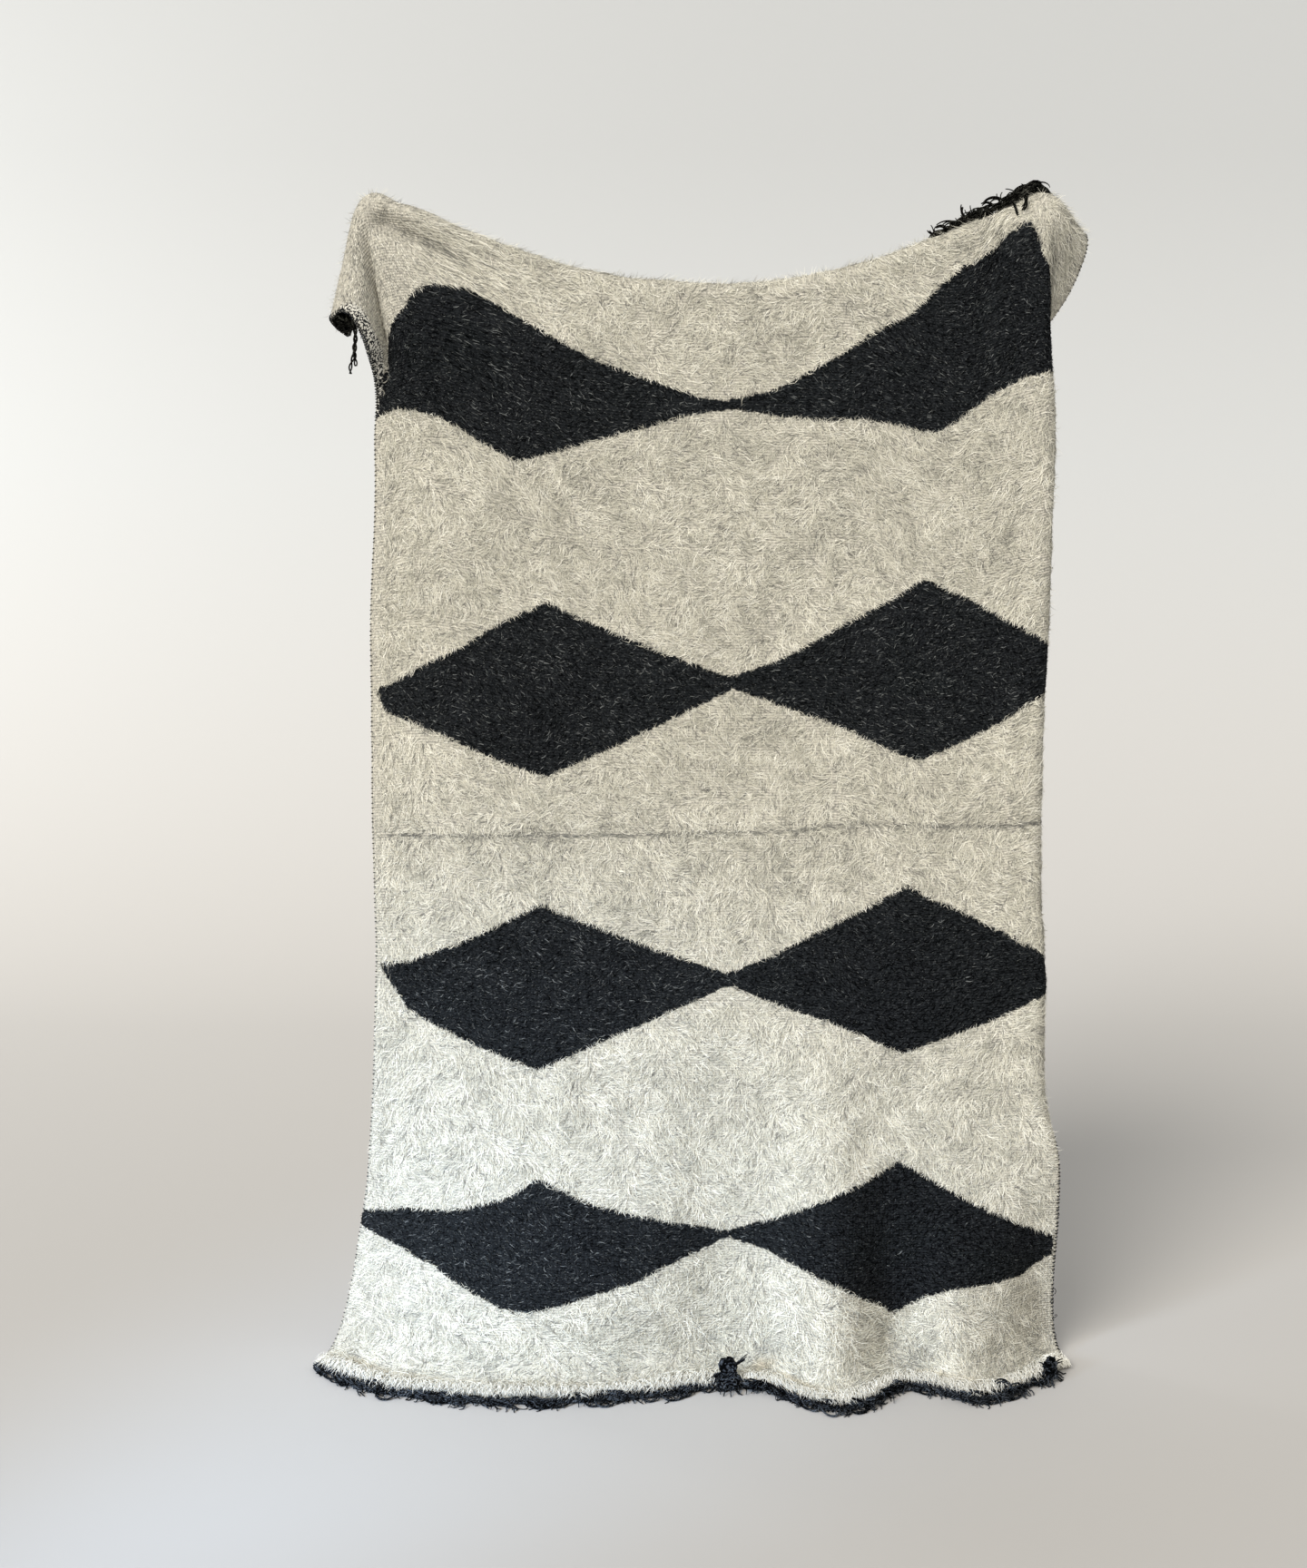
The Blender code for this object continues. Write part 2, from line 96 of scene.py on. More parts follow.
# Columns: along, left edge, left quarter, right quarter, right outer line, margin turned back
SECTIONS = np.array((
    (0.00, -0.725, -0.370, 0.300, 0.478, -0.070),
    (0.12, -0.690, -0.355, 0.290, 0.463, -0.070),
    (0.33, -0.645, -0.340, 0.288, 0.458, -0.050),
    (0.57, -0.620, -0.330, 0.293, 0.462, 0.030),
    (0.79, -0.612, -0.326, 0.298, 0.504, 0.085),
    (1.05, -0.614, -0.322, 0.314, 0.496, 0.090),
    (1.30, -0.614, -0.322, 0.329, 0.506, 0.093),
    (1.77, -0.618, -0.338, 0.346, 0.530, 0.110),
    (2.12, -0.750, -0.415, 0.350, 0.540, 0.120),
))
SECTION_ACROSS = (-HALF, -HALF / 2, 0.0, HALF / 2, 0.52)
LEFT_EDGE_EASE = 0.75

# Columns: across, cloth that hangs behind the top edge, height of the edge above the floor
TOP_EDGE = np.array((
    (-0.660, 0.095, 2.010),
    (-0.500, 0.095, 2.022),
    (-0.430, 0.098, 1.995),
    (-0.365, 0.108, 1.966),
    (-0.210, 0.140, 1.909),
    (-0.080, 0.155, 1.884),
    (0.080, 0.150, 1.886),
    (0.220, 0.110, 1.920),
    (0.330, 0.026, 1.962),
    (0.420, 0.004, 1.992),
    (0.500, 0.002, 2.014),
    (0.535, 0.010, 2.022),
    (0.660, 0.022, 2.010),
))
print("flat cloth:", WIDTH, "by", LENGTH, "m")

# %% [markdown]
# At its foot the cloth stands in upright flutes, and near the top corners short creases run
# through it. Both are smooth swells that are added to the sheet, so each is one row of a table.

# %% Flutes and creases
# Columns: across, half width, forward, reach up the cloth
FLUTES = (
    (-0.30, 0.28, 0.040, 0.95),
    (0.01, 0.14, -0.030, 0.70),
    (0.20, 0.14, 0.070, 0.80),
    (0.35, 0.10, -0.020, 0.55),
    (0.45, 0.09, 0.030, 0.50),
    (0.67, 0.17, -0.115, 0.50),
    (-0.68, 0.17, -0.085, 0.70),
)

# Columns: from across, from along, to across, to along, half width, forward
CREASES = (
    (-0.475, 1.995, -0.370, 1.935, 0.036, -0.022),
    (-0.470, 2.035, -0.330, 1.995, 0.030, 0.010),
    (0.500, 2.060, 0.430, 1.880, 0.044, 0.008),
    (0.470, 2.050, 0.350, 1.900, 0.040, -0.006),
)
CREASE_BEGINS = -0.25
CREASE_RISES = 0.30
CREASE_ENDS = 1.25
CREASE_FADES = 0.90
print("flutes:", len(FLUTES), "and creases:", len(CREASES))

# %% [markdown]
# The two held corners are fans. Their tables say, for every direction out of the corner in the
# flat cloth, which way the cloth leaves it.

# %% Fans of the held corners
# Held corners: across and below the top in the flat cloth, then sideways place and height
LEFT_HELD = (-0.490, 0.095, -0.598, 2.030)
RIGHT_HELD = (0.535, 0.022, 0.522, 2.032)
CAP = 0.028
FAN_FROM = 0.13
FAN_TO = 0.42
FAN_INWARD = 2.6
FAN_OUTWARD = 0.8

# Columns: direction out of the corner in degrees, inward, forward, stretch
LEFT_FAN = np.array((
    (-180, 0.96, -0.05, 1.00),
    (-120, 0.50, -0.15, 1.00),
    (-70, 0.12, -0.16, 1.10),
    (-35, -0.05, -0.10, 1.35),
    (-20, -0.10, -0.08, 1.48),
    (-8, -0.17, -0.02, 1.46),
    (4, -0.19, 0.08, 1.36),
    (15, -0.10, 0.18, 1.22),
    (28, -0.01, 0.21, 1.16),
    (40, 0.06, 0.18, 1.13),
    (50, 0.10, 0.11, 1.11),
    (57, 0.14, 0.00, 1.09),
    (64, 0.17, -0.09, 1.07),
    (71, 0.17, -0.01, 1.04),
    (80, 0.20, 0.04, 1.02),
    (95, 0.33, 0.04, 1.00),
    (115, 0.52, 0.02, 1.00),
    (140, 0.78, 0.00, 1.00),
    (180, 0.96, 0.00, 1.00),
))
RIGHT_FAN = np.array((
    (-180, 0.96, -0.05, 1.00),
    (-120, 0.50, -0.15, 1.00),
    (-60, -0.20, -0.50, 1.00),
    (-15, -0.50, -0.70, 1.00),
    (0, -0.56, -0.68, 1.00),
    (25, -0.48, -0.58, 1.00),
    (45, -0.25, -0.48, 1.00),
    (60, -0.04, -0.28, 1.00),
    (75, -0.02, -0.06, 1.00),
    (88, -0.02, 0.04, 1.00),
    (105, 0.20, 0.05, 1.00),
    (125, 0.50, 0.00, 1.00),
    (150, 0.82, 0.00, 1.00),
    (180, 0.96, 0.00, 1.00),
))
print("directions in the fans:", len(LEFT_FAN), "and", len(RIGHT_FAN))

# %% [markdown]
# The tables are joined by smooth curves, so no fold has a kink. Another way is a cloth
# simulation, but a simulated fold can't be made to fall where the photograph has it.

# %% Curves through a table
def smooth(t):
    t = np.clip(t, 0.0, 1.0)
    return t * t * (3 - 2 * t)


def swell(t):
    return np.where(np.abs(t) < 1, 0.5 + 0.5 * np.cos(pi * t), 0.0)


def rise(t, low, high, low_slope, high_slope):
    c = np.clip(t, 0.0, 1.0)
    value = (1 + 2 * c) * (1 - c) ** 2 * low + c * (1 - c) ** 2 * low_slope
    value = value + c * c * (3 - 2 * c) * high + c * c * (c - 1) * high_slope
    return value + np.minimum(t, 0.0) * low_slope + np.maximum(t - 1, 0.0) * high_slope


def curve(table, number, at):
    xs = table[:, 0]
    ys = table[:, number]
    slopes = np.gradient(ys, xs)
    k = np.clip(np.searchsorted(xs, at) - 1, 0, len(xs) - 2)
    step = xs[k + 1] - xs[k]
    return rise((at - xs[k]) / step, ys[k], ys[k + 1], step * slopes[k], step * slopes[k + 1])


print("left edge, half way up:", curve(SECTIONS, 1, np.array([LENGTH / 2])).round(3))

# %% [markdown]
# The sheet between the two held corners lies a little on the floor, bends up, climbs to the
# top edge, rolls over it and hangs down behind. Its right margin is turned back, and its foot
# opens into soft upright flutes.

# %% The sheet between the held corners
def sideways(across, along):
    lines = [curve(SECTIONS, n, along) if n else 0 * along for n in (1, 2, 0, 3, 4)]
    gaps = np.diff(SECTION_ACROSS)
    grades = [(lines[i + 1] - lines[i]) / gaps[i] for i in range(4)]
    slopes = [LEFT_EDGE_EASE * grades[0]]
    for i in (1, 2, 3):
        slopes.append((grades[i - 1] * gaps[i] + grades[i] * gaps[i - 1]) / (gaps[i - 1] + gaps[i]))
    slopes.append(grades[3])
    k = np.clip(np.searchsorted(SECTION_ACROSS, across) - 1, 0, 3)
    result = 0 * along
    for i in range(4):
        t = (across - SECTION_ACROSS[i]) / gaps[i]
        part = rise(t, lines[i], lines[i + 1], gaps[i] * slopes[i], gaps[i] * slopes[i + 1])
        result = np.where(k == i, part, result)
    return result


def hanging(across, along):
    quarter = pi / 2 * ROLL
    crest = LENGTH - curve(TOP_EDGE, 1, across)
    height = curve(TOP_EDGE, 2, across)
    past = along - crest
    over = np.clip((past + quarter) / ROLL, 0, pi)
    behind = np.maximum(past - quarter, 0)
    low_along = FLOOR_RUN + pi / 2 * FLOOR_BEND
    low_height = THICKNESS / 2 + FLOOR_BEND
    high_along = crest - quarter
    share = (np.clip(along, low_along, high_along) - low_along) / (high_along - low_along)
    up = low_height + share * (height - ROLL - low_height) + ROLL * np.sin(over) - behind
    back = ROLL * (1 - np.cos(over)) + ROLL_REST * behind

    foot = np.clip((along - FLOOR_RUN) / FLOOR_BEND, 0, pi / 2)
    foot_back = np.minimum(along - FLOOR_RUN, 0) + FLOOR_BEND * (np.sin(foot) - 1)
    up = np.where(along < low_along, THICKNESS / 2 + FLOOR_BEND * (1 - np.cos(foot)), up)
    back = np.where(along < low_along, foot_back, back)

    start = HALF - curve(SECTIONS, 5, along) - pi / 2 * TURN
    margin = np.maximum(across - start, 0)
    around = np.clip(margin / TURN, 0, pi)
    rest = np.maximum(margin - pi * TURN, 0)
    side = sideways(np.minimum(across, start), along) + TURN * np.sin(around) - rest
    back = back + TURN * (1 - np.cos(around)) + TURN_REST * rest

    back = back + LEFT_CURL * np.clip((-across - CURL_FROM) / (HALF - CURL_FROM), 0, 1) ** 2
    for at, half_width, forward, reach in FLUTES:
        back = back - forward * swell((across - at) / half_width) * smooth(1 - along / reach)
    return np.stack([side, back, up], -1)


print("middle of the hem:", hanging(np.array([0.0]), np.array([0.0])).round(3))

# %% [markdown]
# At a held corner the cloth's weight hangs from one spot, so straight folds run out of it like
# the ribs of a fan. Each direction out of the corner gets its own slope in a table. Within a
# hand's breadth the cloth follows the fan alone, and further off it eases into the sheet.

# %% The held corners and the whole cloth
def fanned(across, along, held, fan, outward):
    out = outward * (across - held[0])
    down = LENGTH - held[1] - along
    far = np.hypot(out, down)
    angle = np.arctan2(down, out)
    inward, forward, stretch = (curve(fan, n, np.degrees(angle)) for n in (1, 2, 3))
    fall = np.sqrt(1 - inward ** 2 - forward ** 2)
    cap = CAP * np.tanh(far / CAP)
    rest = (far - cap) * stretch
    side = held[2] + outward * (cap * np.cos(angle) - rest * inward)
    back = ROLL - ROLL * np.tanh(down / CAP) - rest * forward
    up = held[3] - CAP / 2 - cap * np.sin(angle) - rest * fall
    spread = np.hypot(down, np.where(out < 0, FAN_INWARD, FAN_OUTWARD) * out)
    weight = 1 - smooth((spread - FAN_FROM) / (FAN_TO - FAN_FROM))
    return np.stack([side, back, up], -1), weight[..., None]


def cloth(across, along):
    place = hanging(across, along)
    for held, fan, outward in ((LEFT_HELD, LEFT_FAN, -1), (RIGHT_HELD, RIGHT_FAN, 1)):
        ray, weight = fanned(across, along, held, fan, outward)
        place = place * (1 - weight) + ray * weight
    for across_0, along_0, across_1, along_1, half_width, forward in CREASES:
        run = np.hypot(across_1 - across_0, along_1 - along_0)
        way = ((across_1 - across_0) / run, (along_1 - along_0) / run)
        share = ((across - across_0) * way[0] + (along - along_0) * way[1]) / run
        off = (across - across_0) * way[1] - (along - along_0) * way[0]
        fade = smooth((share - CREASE_BEGINS) / CREASE_RISES)
        fade = fade * smooth((CREASE_ENDS - share) / CREASE_FADES)
        place[..., 1] -= forward * swell(off / half_width) * fade
    return place - np.array((0.0, ROLL, -FLOOR))


def normal_at(across, along, step=0.003):
    """Direction out of the pile side."""
    run = cloth(across + step, along) - cloth(across - step, along)
    climb = cloth(across, along + step) - cloth(across, along - step)
    out = np.cross(run, climb)
    return out / np.linalg.norm(out, axis=-1, keepdims=True)


print("middle of the top edge:", cloth(np.array([0.0]), np.array([1.97])).round(3))

# %% [markdown]
# ## The pattern
# Two columns of charcoal diamonds touch at their tips along the middle of the blanket. They
# are woven, so their outlines belong to the flat cloth and bend with it. Each diamond is a short
# list of corners in the flat cloth. What every later step needs is how far a place lies inside
# the nearest diamond, so that is the one thing this step gives.

# %% The diamonds in the flat cloth
# Columns: across, along
DIAMONDS = (
    ((-0.670, 1.748), (-0.561, 1.813), (-0.477, 1.846), (-0.425, 1.888), (-0.386, 1.897),
     (-0.335, 1.878), (-0.212, 1.818), (-0.032, 1.762), (0.022, 1.759), (0.022, 1.750), (-0.056, 1.737),
     (-0.224, 1.682), (-0.365, 1.627), (-0.448, 1.650), (-0.597, 1.687), (-0.670, 1.680)),
    ((-0.012, 1.750), (-0.012, 1.759), (0.069, 1.778), (0.181, 1.843), (0.279, 1.933), (0.330, 1.999),
     (0.370, 2.032), (0.441, 2.041), (0.478, 2.049), (0.506, 2.068), (0.522, 2.040), (0.534, 2.006),
     (0.567, 1.978), (0.640, 1.885), (0.655, 1.850), (0.640, 1.825), (0.542, 1.813), (0.481, 1.817),
     (0.422, 1.802), (0.337, 1.748), (0.246, 1.737), (0.158, 1.726), (0.083, 1.734)),
    ((-0.648, 1.229), (-0.571, 1.248), (-0.482, 1.291), (-0.401, 1.354), (-0.319, 1.405), (0.020, 1.288),
     (0.020, 1.280), (-0.317, 1.106), (-0.443, 1.131), (-0.527, 1.153), (-0.624, 1.190)),
    ((-0.012, 1.280), (-0.012, 1.288), (0.072, 1.319), (0.147, 1.359), (0.221, 1.405), (0.258, 1.438),
     (0.324, 1.498), (0.417, 1.450), (0.503, 1.393), (0.549, 1.356), (0.640, 1.295), (0.334, 1.176),
     (0.231, 1.194), (0.152, 1.223)),
    ((-0.652, 0.767), (-0.578, 0.770), (-0.486, 0.801), (-0.402, 0.847), (-0.330, 0.891), (0.016, 0.773),
     (0.016, 0.765), (-0.328, 0.602), (-0.441, 0.635), (-0.529, 0.664), (-0.580, 0.688), (-0.618, 0.729)),
    ((-0.016, 0.765), (-0.016, 0.773), (0.083, 0.811), (0.214, 0.874), (0.254, 0.899), (0.328, 0.957),
     (0.410, 0.912), (0.483, 0.866), (0.554, 0.815), (0.640, 0.765), (0.570, 0.738), (0.499, 0.706),
     (0.340, 0.651), (0.263, 0.676), (0.129, 0.712)),
    ((-0.667, 0.322), (-0.554, 0.346), (-0.468, 0.353), (-0.373, 0.383), (-0.321, 0.419), (-0.232, 0.376),
     (-0.157, 0.352), (0.012, 0.312), (0.012, 0.307), (-0.080, 0.269), (-0.154, 0.232), (-0.227, 0.210),
     (-0.326, 0.181), (-0.376, 0.190), (-0.455, 0.230), (-0.498, 0.254), (-0.560, 0.274), (-0.658, 0.294)),
    ((-0.012, 0.306), (-0.012, 0.311), (0.085, 0.341), (0.173, 0.382), (0.266, 0.417), (0.338, 0.457),
     (0.448, 0.397), (0.538, 0.350), (0.655, 0.298), (0.655, 0.262), (0.590, 0.228), (0.541, 0.224),
     (0.448, 0.222), (0.407, 0.206), (0.338, 0.165), (0.220, 0.235), (0.129, 0.267)),
)


def inside_diamond(across, along):
    """Distance inside the nearest diamond, negative outside, in metres of flat cloth."""
    best = np.full(across.shape, -1.0)
    for corners in DIAMONDS:
        nearest = np.full(across.shape, 9.0)
        within = np.zeros(across.shape, bool)
        for (a, b), (c, d) in zip(corners, corners[1:] + corners[:1]):
            t = ((across - a) * (c - a) + (along - b) * (d - b)) / ((c - a) ** 2 + (d - b) ** 2)
            t = np.clip(t, 0, 1)
            nearest = np.minimum(nearest, np.hypot(across - a - t * (c - a), along - b - t * (d - b)))
            crosses = (b > along) != (d > along)
            within ^= crosses & (across < a + (along - b) * (c - a) / (d - b + 1e-12))
        best = np.maximum(best, np.where(within, nearest, -nearest))
    return best


print("diamonds:", len(DIAMONDS))

# %% [markdown]
# Between the second and third rows one thin grey line crosses the cloth, where a dark end of
# weft was laid in. The pile lies sideways above it and hangs down below it.

# %% The thin grey line
# Columns: across, along
GREY_LINE = np.array((
    (-0.625, 0.983), (-0.520, 0.980), (-0.387, 1.001), (-0.224, 1.015), (-0.036, 1.024),
    (0.140, 1.031), (0.240, 1.047), (0.327, 1.064), (0.450, 1.052), (0.590, 1.037),
))


def above_line(across, along):
    """Distance above the grey line in the flat cloth."""
    return along - np.interp(across, GREY_LINE[:, 0], GREY_LINE[:, 1])


print("the middle of the cloth lies", above_line(0.0, LENGTH / 2).round(3), "m above the grey line")

# %% [markdown]
# Wool is never even. A few soft random fields, each with its own grain, steer everything that
# varies over the cloth: shade, the way the hair lies, and slight unevenness of the sheet. The
# fields are seeded, so the blanket comes out the same every time.

# %% Soft random fields
def field(across, along, grain, seed):
    """Smooth random values from 0 to 1 that change over about one grain, in metres."""
    table = np.random.default_rng(seed).random((512, 512))
    x = (across + 5.0) / grain
    y = (along + 5.0) / grain
    i = np.floor(x).astype(int)
    j = np.floor(y).astype(int)
    s = smooth(x - i)
    t = smooth(y - j)
    corner = [table[(i + a) % 512, (j + b) % 512] for a in (0, 1) for b in (0, 1)]
    return (corner[0] * (1 - t) + corner[1] * t) * (1 - s) + (corner[2] * (1 - t) + corner[3] * t) * s


print("a field at one place:", field(np.zeros(1), np.ones(1), 0.1, 1).round(3))

# %% [markdown]
# ## Materials
# Three wools cover the blanket: the woven ground, the brushed pile, and the twisted yarn of
# the plaits. Each hair carries a shade of its own, dark at its root where little light gets in
# and pale at its tip, and the material turns that shade into a colour. Node materials could be
# joined one node at a time. A small bench that adds and joins nodes keeps each recipe short.

# %% A bench for nodes
class Bench:
    """Adds nodes to one material or node group and joins them."""

    def __init__(self, tree):
        self.nodes = tree.nodes
        self.links = tree.links

    def feed(self, socket, value):
        if isinstance(value, bpy.types.NodeSocket):
            self.links.new(value, socket)
        elif value is not None:
            socket.default_value = value

    def figure(self, operation, *values, clamp=False):
        node = self.nodes.new("ShaderNodeMath")
        node.operation = operation
        node.use_clamp = clamp
        for socket, value in zip(node.inputs, values):
            self.feed(socket, value)
        return node.outputs["Value"]

    def reading(self, name):
        node = self.nodes.new("ShaderNodeAttribute")
        node.attribute_name = name
        return node.outputs["Fac"]

    def flat_place(self, name):
        node = self.nodes.new("ShaderNodeUVMap")
        node.uv_map = name
        parts = self.nodes.new("ShaderNodeSeparateXYZ")
        self.links.new(node.outputs["UV"], parts.inputs["Vector"])
        return parts.outputs["X"], parts.outputs["Y"]

    def noise(self, scale, detail=3.0, stretch=None):
        place = self.nodes.new("ShaderNodeTexCoord").outputs["Object"]
        if stretch:
            mapping = self.nodes.new("ShaderNodeMapping")
            self.feed(mapping.inputs["Scale"], stretch)
            self.links.new(place, mapping.inputs["Vector"])
            place = mapping.outputs["Vector"]
        node = self.nodes.new("ShaderNodeTexNoise")
        self.feed(node.inputs["Scale"], scale)
        self.feed(node.inputs["Detail"], detail)
        self.links.new(place, node.inputs["Vector"])
        return node.outputs["Fac"]

    def swing(self, scale, detail, stretch=None):
        """Noise that swings about zero."""
        return self.figure("SUBTRACT", self.noise(scale, detail, stretch), 0.5)

    def ramp(self, value, stops):
        """Colour ramp through (position, red, green, blue) stops."""
        node = self.nodes.new("ShaderNodeValToRGB")
        while len(node.color_ramp.elements) < len(stops):
            node.color_ramp.elements.new(0.5)
        for element, (position, *colour) in zip(node.color_ramp.elements, stops):
            element.position = position
            element.color = (*colour, 1.0)
        self.links.new(value, node.inputs["Fac"])
        return node.outputs["Color"]

    def blend(self, share, first, second):
        node = self.nodes.new("ShaderNodeMix")
        node.data_type = "RGBA"
        for socket, value in zip([s for s in node.inputs if s.enabled], (share, first, second)):
            self.feed(socket, value)
        return [s for s in node.outputs if s.enabled][0]

    def bumps(self, shader, height, distance, strength=1.0):
        bump = self.nodes.new("ShaderNodeBump")
        bump.inputs["Strength"].default_value = strength
        bump.inputs["Distance"].default_value = distance
        self.links.new(height, bump.inputs["Height"])
        self.links.new(bump.outputs["Normal"], shader.inputs["Normal"])

    def place(self, group, **values):
        """Places a node group, with its values, and gives its outputs."""
        node = self.nodes.new("ShaderNodeGroup")
        node.node_tree = group
        for name, value in values.items():
            self.feed(node.inputs[name], value)
        return node.outputs


def new_material(name, roughness, gloss=0.15):
    made = bpy.data.materials.new(name)
    made.use_nodes = True
    shader = made.node_tree.nodes["Principled BSDF"]
    shader.inputs["Roughness"].default_value = roughness
    shader.inputs["Specular IOR Level"].default_value = gloss
    return made, Bench(made.node_tree), shader


print("bench tools:", ", ".join(name for name in vars(Bench) if not name.startswith("_")))

# %% [markdown]
# Three effects come back in more than one wool, so each is a node group, built once: flecks of
# the other wool, hair that is lighter and darker in places, and the two plies of a yarn with
# their fuzz. A group takes named values and gives a mask, a tone or a height; each material
# turns these into its own colours.

# %% Node groups
def new_group(name, inputs, outputs):
    """Node group with number sockets; stretch is a vector."""
    group = bpy.data.node_groups.new(name, "ShaderNodeTree")
    for title in inputs:
        kind = "NodeSocketVector" if title == "Stretch" else "NodeSocketFloat"
        group.interface.new_socket(name=title, in_out="INPUT", socket_type=kind)
    for title in outputs:
        group.interface.new_socket(name=title, in_out="OUTPUT", socket_type="NodeSocketFloat")
    given = group.nodes.new("NodeGroupInput").outputs
    result = group.nodes.new("NodeGroupOutput").inputs
    return group, Bench(group), given, result


def fleck_group():
    """Mask of small specks where a fine noise passes a threshold."""
    group, bench, given, result = new_group("wool_flecks", ("Scale", "Low", "High", "Stretch"), ("Mask",))
    above = bench.figure("SUBTRACT", bench.noise(given["Scale"], 2.0, given["Stretch"]), given["Low"])
    band = bench.figure("SUBTRACT", given["High"], given["Low"])
    bench.feed(result["Mask"], bench.figure("DIVIDE", above, band, clamp=True))
    return group


def hair_group():
    """A hair's own shade with wide and fine unevenness, and its roughness as a height."""
    group, bench, given, result = new_group("uneven_hair", ("Shade", "Wide", "Fine"), ("Tone", "Height"))
    tone = bench.figure("MULTIPLY_ADD", bench.swing(14.0, 4.0), given["Wide"], given["Shade"])
    bench.feed(result["Tone"], bench.figure("MULTIPLY_ADD", bench.swing(620.0, 2.0), given["Fine"], tone))
    bench.feed(result["Height"], bench.noise(900.0, 2.0))
    return group


def twist_group():
    """Two plies wound round each other, from the places round and along the yarn."""
    group, bench, given, result = new_group("yarn_twist", ("Round", "Along", "Pitch"), ("Tone", "Height"))
    turn = bench.figure("MULTIPLY", given["Round"], 4 * pi)
    turns_along = bench.figure("DIVIDE", 2 * pi, given["Pitch"])
    turn = bench.figure("MULTIPLY_ADD", given["Along"], turns_along, turn)
    ply = bench.figure("SINE", turn)
    tone = bench.figure("MULTIPLY_ADD", ply, 0.22, bench.noise(330.0, 4.0))
    tone = bench.figure("MULTIPLY_ADD", bench.swing(95.0, 1.0), 0.8, tone)
    own = bench.nodes.new("ShaderNodeTexWhiteNoise")
    own.noise_dimensions = "1D"
    bench.feed(own.inputs["W"], bench.figure("FLOOR", given["Along"]))
    own = bench.figure("SUBTRACT", own.outputs["Value"], 0.5)
    bench.feed(result["Tone"], bench.figure("MULTIPLY_ADD", own, 0.6, tone))
    bench.feed(result["Height"], bench.figure("MULTIPLY_ADD", bench.noise(1400.0, 2.0), 0.8, ply))
    return group


FLECKS = fleck_group()
UNEVEN_HAIR = hair_group()
TWIST = twist_group()
print("node groups:", ", ".join(group.name for group in (FLECKS, UNEVEN_HAIR, TWIST)))

# %% [markdown]
# The woven ground shows between the hairs, on the back, and along the edges. It has fine ribs
# from side to side, where the weft lies over the warp. On the back the colours are spotted like
# salt and pepper, because both wools pass through the weave there.

# %% Woven ground
RIB_PITCH = 0.0046
WARP_PITCH = 0.0062
ROUND = (1, 1, 1)
# Ramps through position, red, green, blue
WOVEN_CREAM = ((0.30, 0.24, 0.235, 0.21), (0.46, 0.45, 0.43, 0.37), (0.70, 0.62, 0.59, 0.50))
WOVEN_CHARCOAL = ((0.30, 0.004, 0.005, 0.006), (0.55, 0.010, 0.012, 0.014), (0.75, 0.04, 0.044, 0.046))
# Colour of the weave and of its flecks
BACK_OF_CREAM = ((0.60, 0.57, 0.49, 1), (0.16, 0.155, 0.15, 1))
BACK_OF_CHARCOAL = ((0.022, 0.026, 0.028, 1), (0.26, 0.25, 0.22, 1))
SPECKLED_EDGE = ((0.80, 0.78, 0.70, 1), (0.02, 0.022, 0.024, 1))


def ground_material():
    made, bench, shader = new_material("woven_wool", 0.95)
    inside = bench.figure("MULTIPLY_ADD", bench.swing(110.0, 3.0), 0.012, bench.reading("inside"))
    dark = bench.figure("MULTIPLY_ADD", inside, 500.0, 0.5, clamp=True)
    cream = bench.ramp(bench.noise(240.0, 4.0), WOVEN_CREAM)
    charcoal = bench.ramp(bench.noise(300.0, 4.0), WOVEN_CHARCOAL)
    face = bench.blend(dark, cream, charcoal)
    pepper = bench.place(FLECKS, Scale=420.0, Low=0.50, High=0.56, Stretch=ROUND)["Mask"]
    cream_back = bench.blend(pepper, *BACK_OF_CREAM)
    charcoal_back = bench.blend(pepper, *BACK_OF_CHARCOAL)
    reverse = bench.blend(dark, cream_back, charcoal_back)
    strong = bench.place(FLECKS, Scale=300.0, Low=0.49, High=0.51, Stretch=ROUND)["Mask"]
    selvedge = bench.blend(strong, *SPECKLED_EDGE)
    colour = bench.blend(bench.reading("reverse"), face, reverse)
    bench.feed(shader.inputs["Base Color"], bench.blend(bench.reading("selvedge"), colour, selvedge))
    across, along = bench.flat_place("flat")
    ribs = bench.figure("SINE", bench.figure("MULTIPLY", along, 2 * pi / RIB_PITCH))
    warp = bench.figure("SINE", bench.figure("MULTIPLY", across, 2 * pi / WARP_PITCH))
    height = bench.figure("MULTIPLY_ADD", warp, 0.5, ribs)
    height = bench.figure("MULTIPLY_ADD", bench.noise(500.0, 3.0), 1.6, height)
    bench.bumps(shader, height, 0.0005)
    return made


GROUND_WOOL = ground_material()
print("material:", GROUND_WOOL.name)

# %% [markdown]
# The pile's colour runs from the shadow at the roots to the bright tips. The charcoal pile also
# has pale flecks, because a little cream wool is spun into the dark yarn. The hair that hangs
# over the hem gets a whiter, slightly bluer colour of its own: painted light, for the cool light
# that falls on the foot.

# %% Brushed pile
# Ramps through position, red, green, blue, from the root's shadow to the tip
CREAM_STOPS = ((0.00, 0.16, 0.158, 0.145), (0.30, 0.45, 0.438, 0.367), (0.60, 0.72, 0.696, 0.588),
               (1.00, 0.92, 0.905, 0.825))
# Painted light: the brow's stops are whiter and bluer than the cream ones, for the cool light on the hem
BROW_LIT_STOPS = ((0.00, 0.18, 0.179, 0.168), (0.30, 0.465, 0.456, 0.396), (0.60, 0.732, 0.715, 0.634),
              (1.00, 0.928, 0.918, 0.858))
CHARCOAL_STOPS = ((0.00, 0.0010, 0.0013, 0.0015), (0.40, 0.0034, 0.0044, 0.0053),
                  (0.75, 0.0190, 0.0226, 0.0256), (1.00, 0.17, 0.180, 0.178))
SALT = (0.14, 0.147, 0.142, 1)


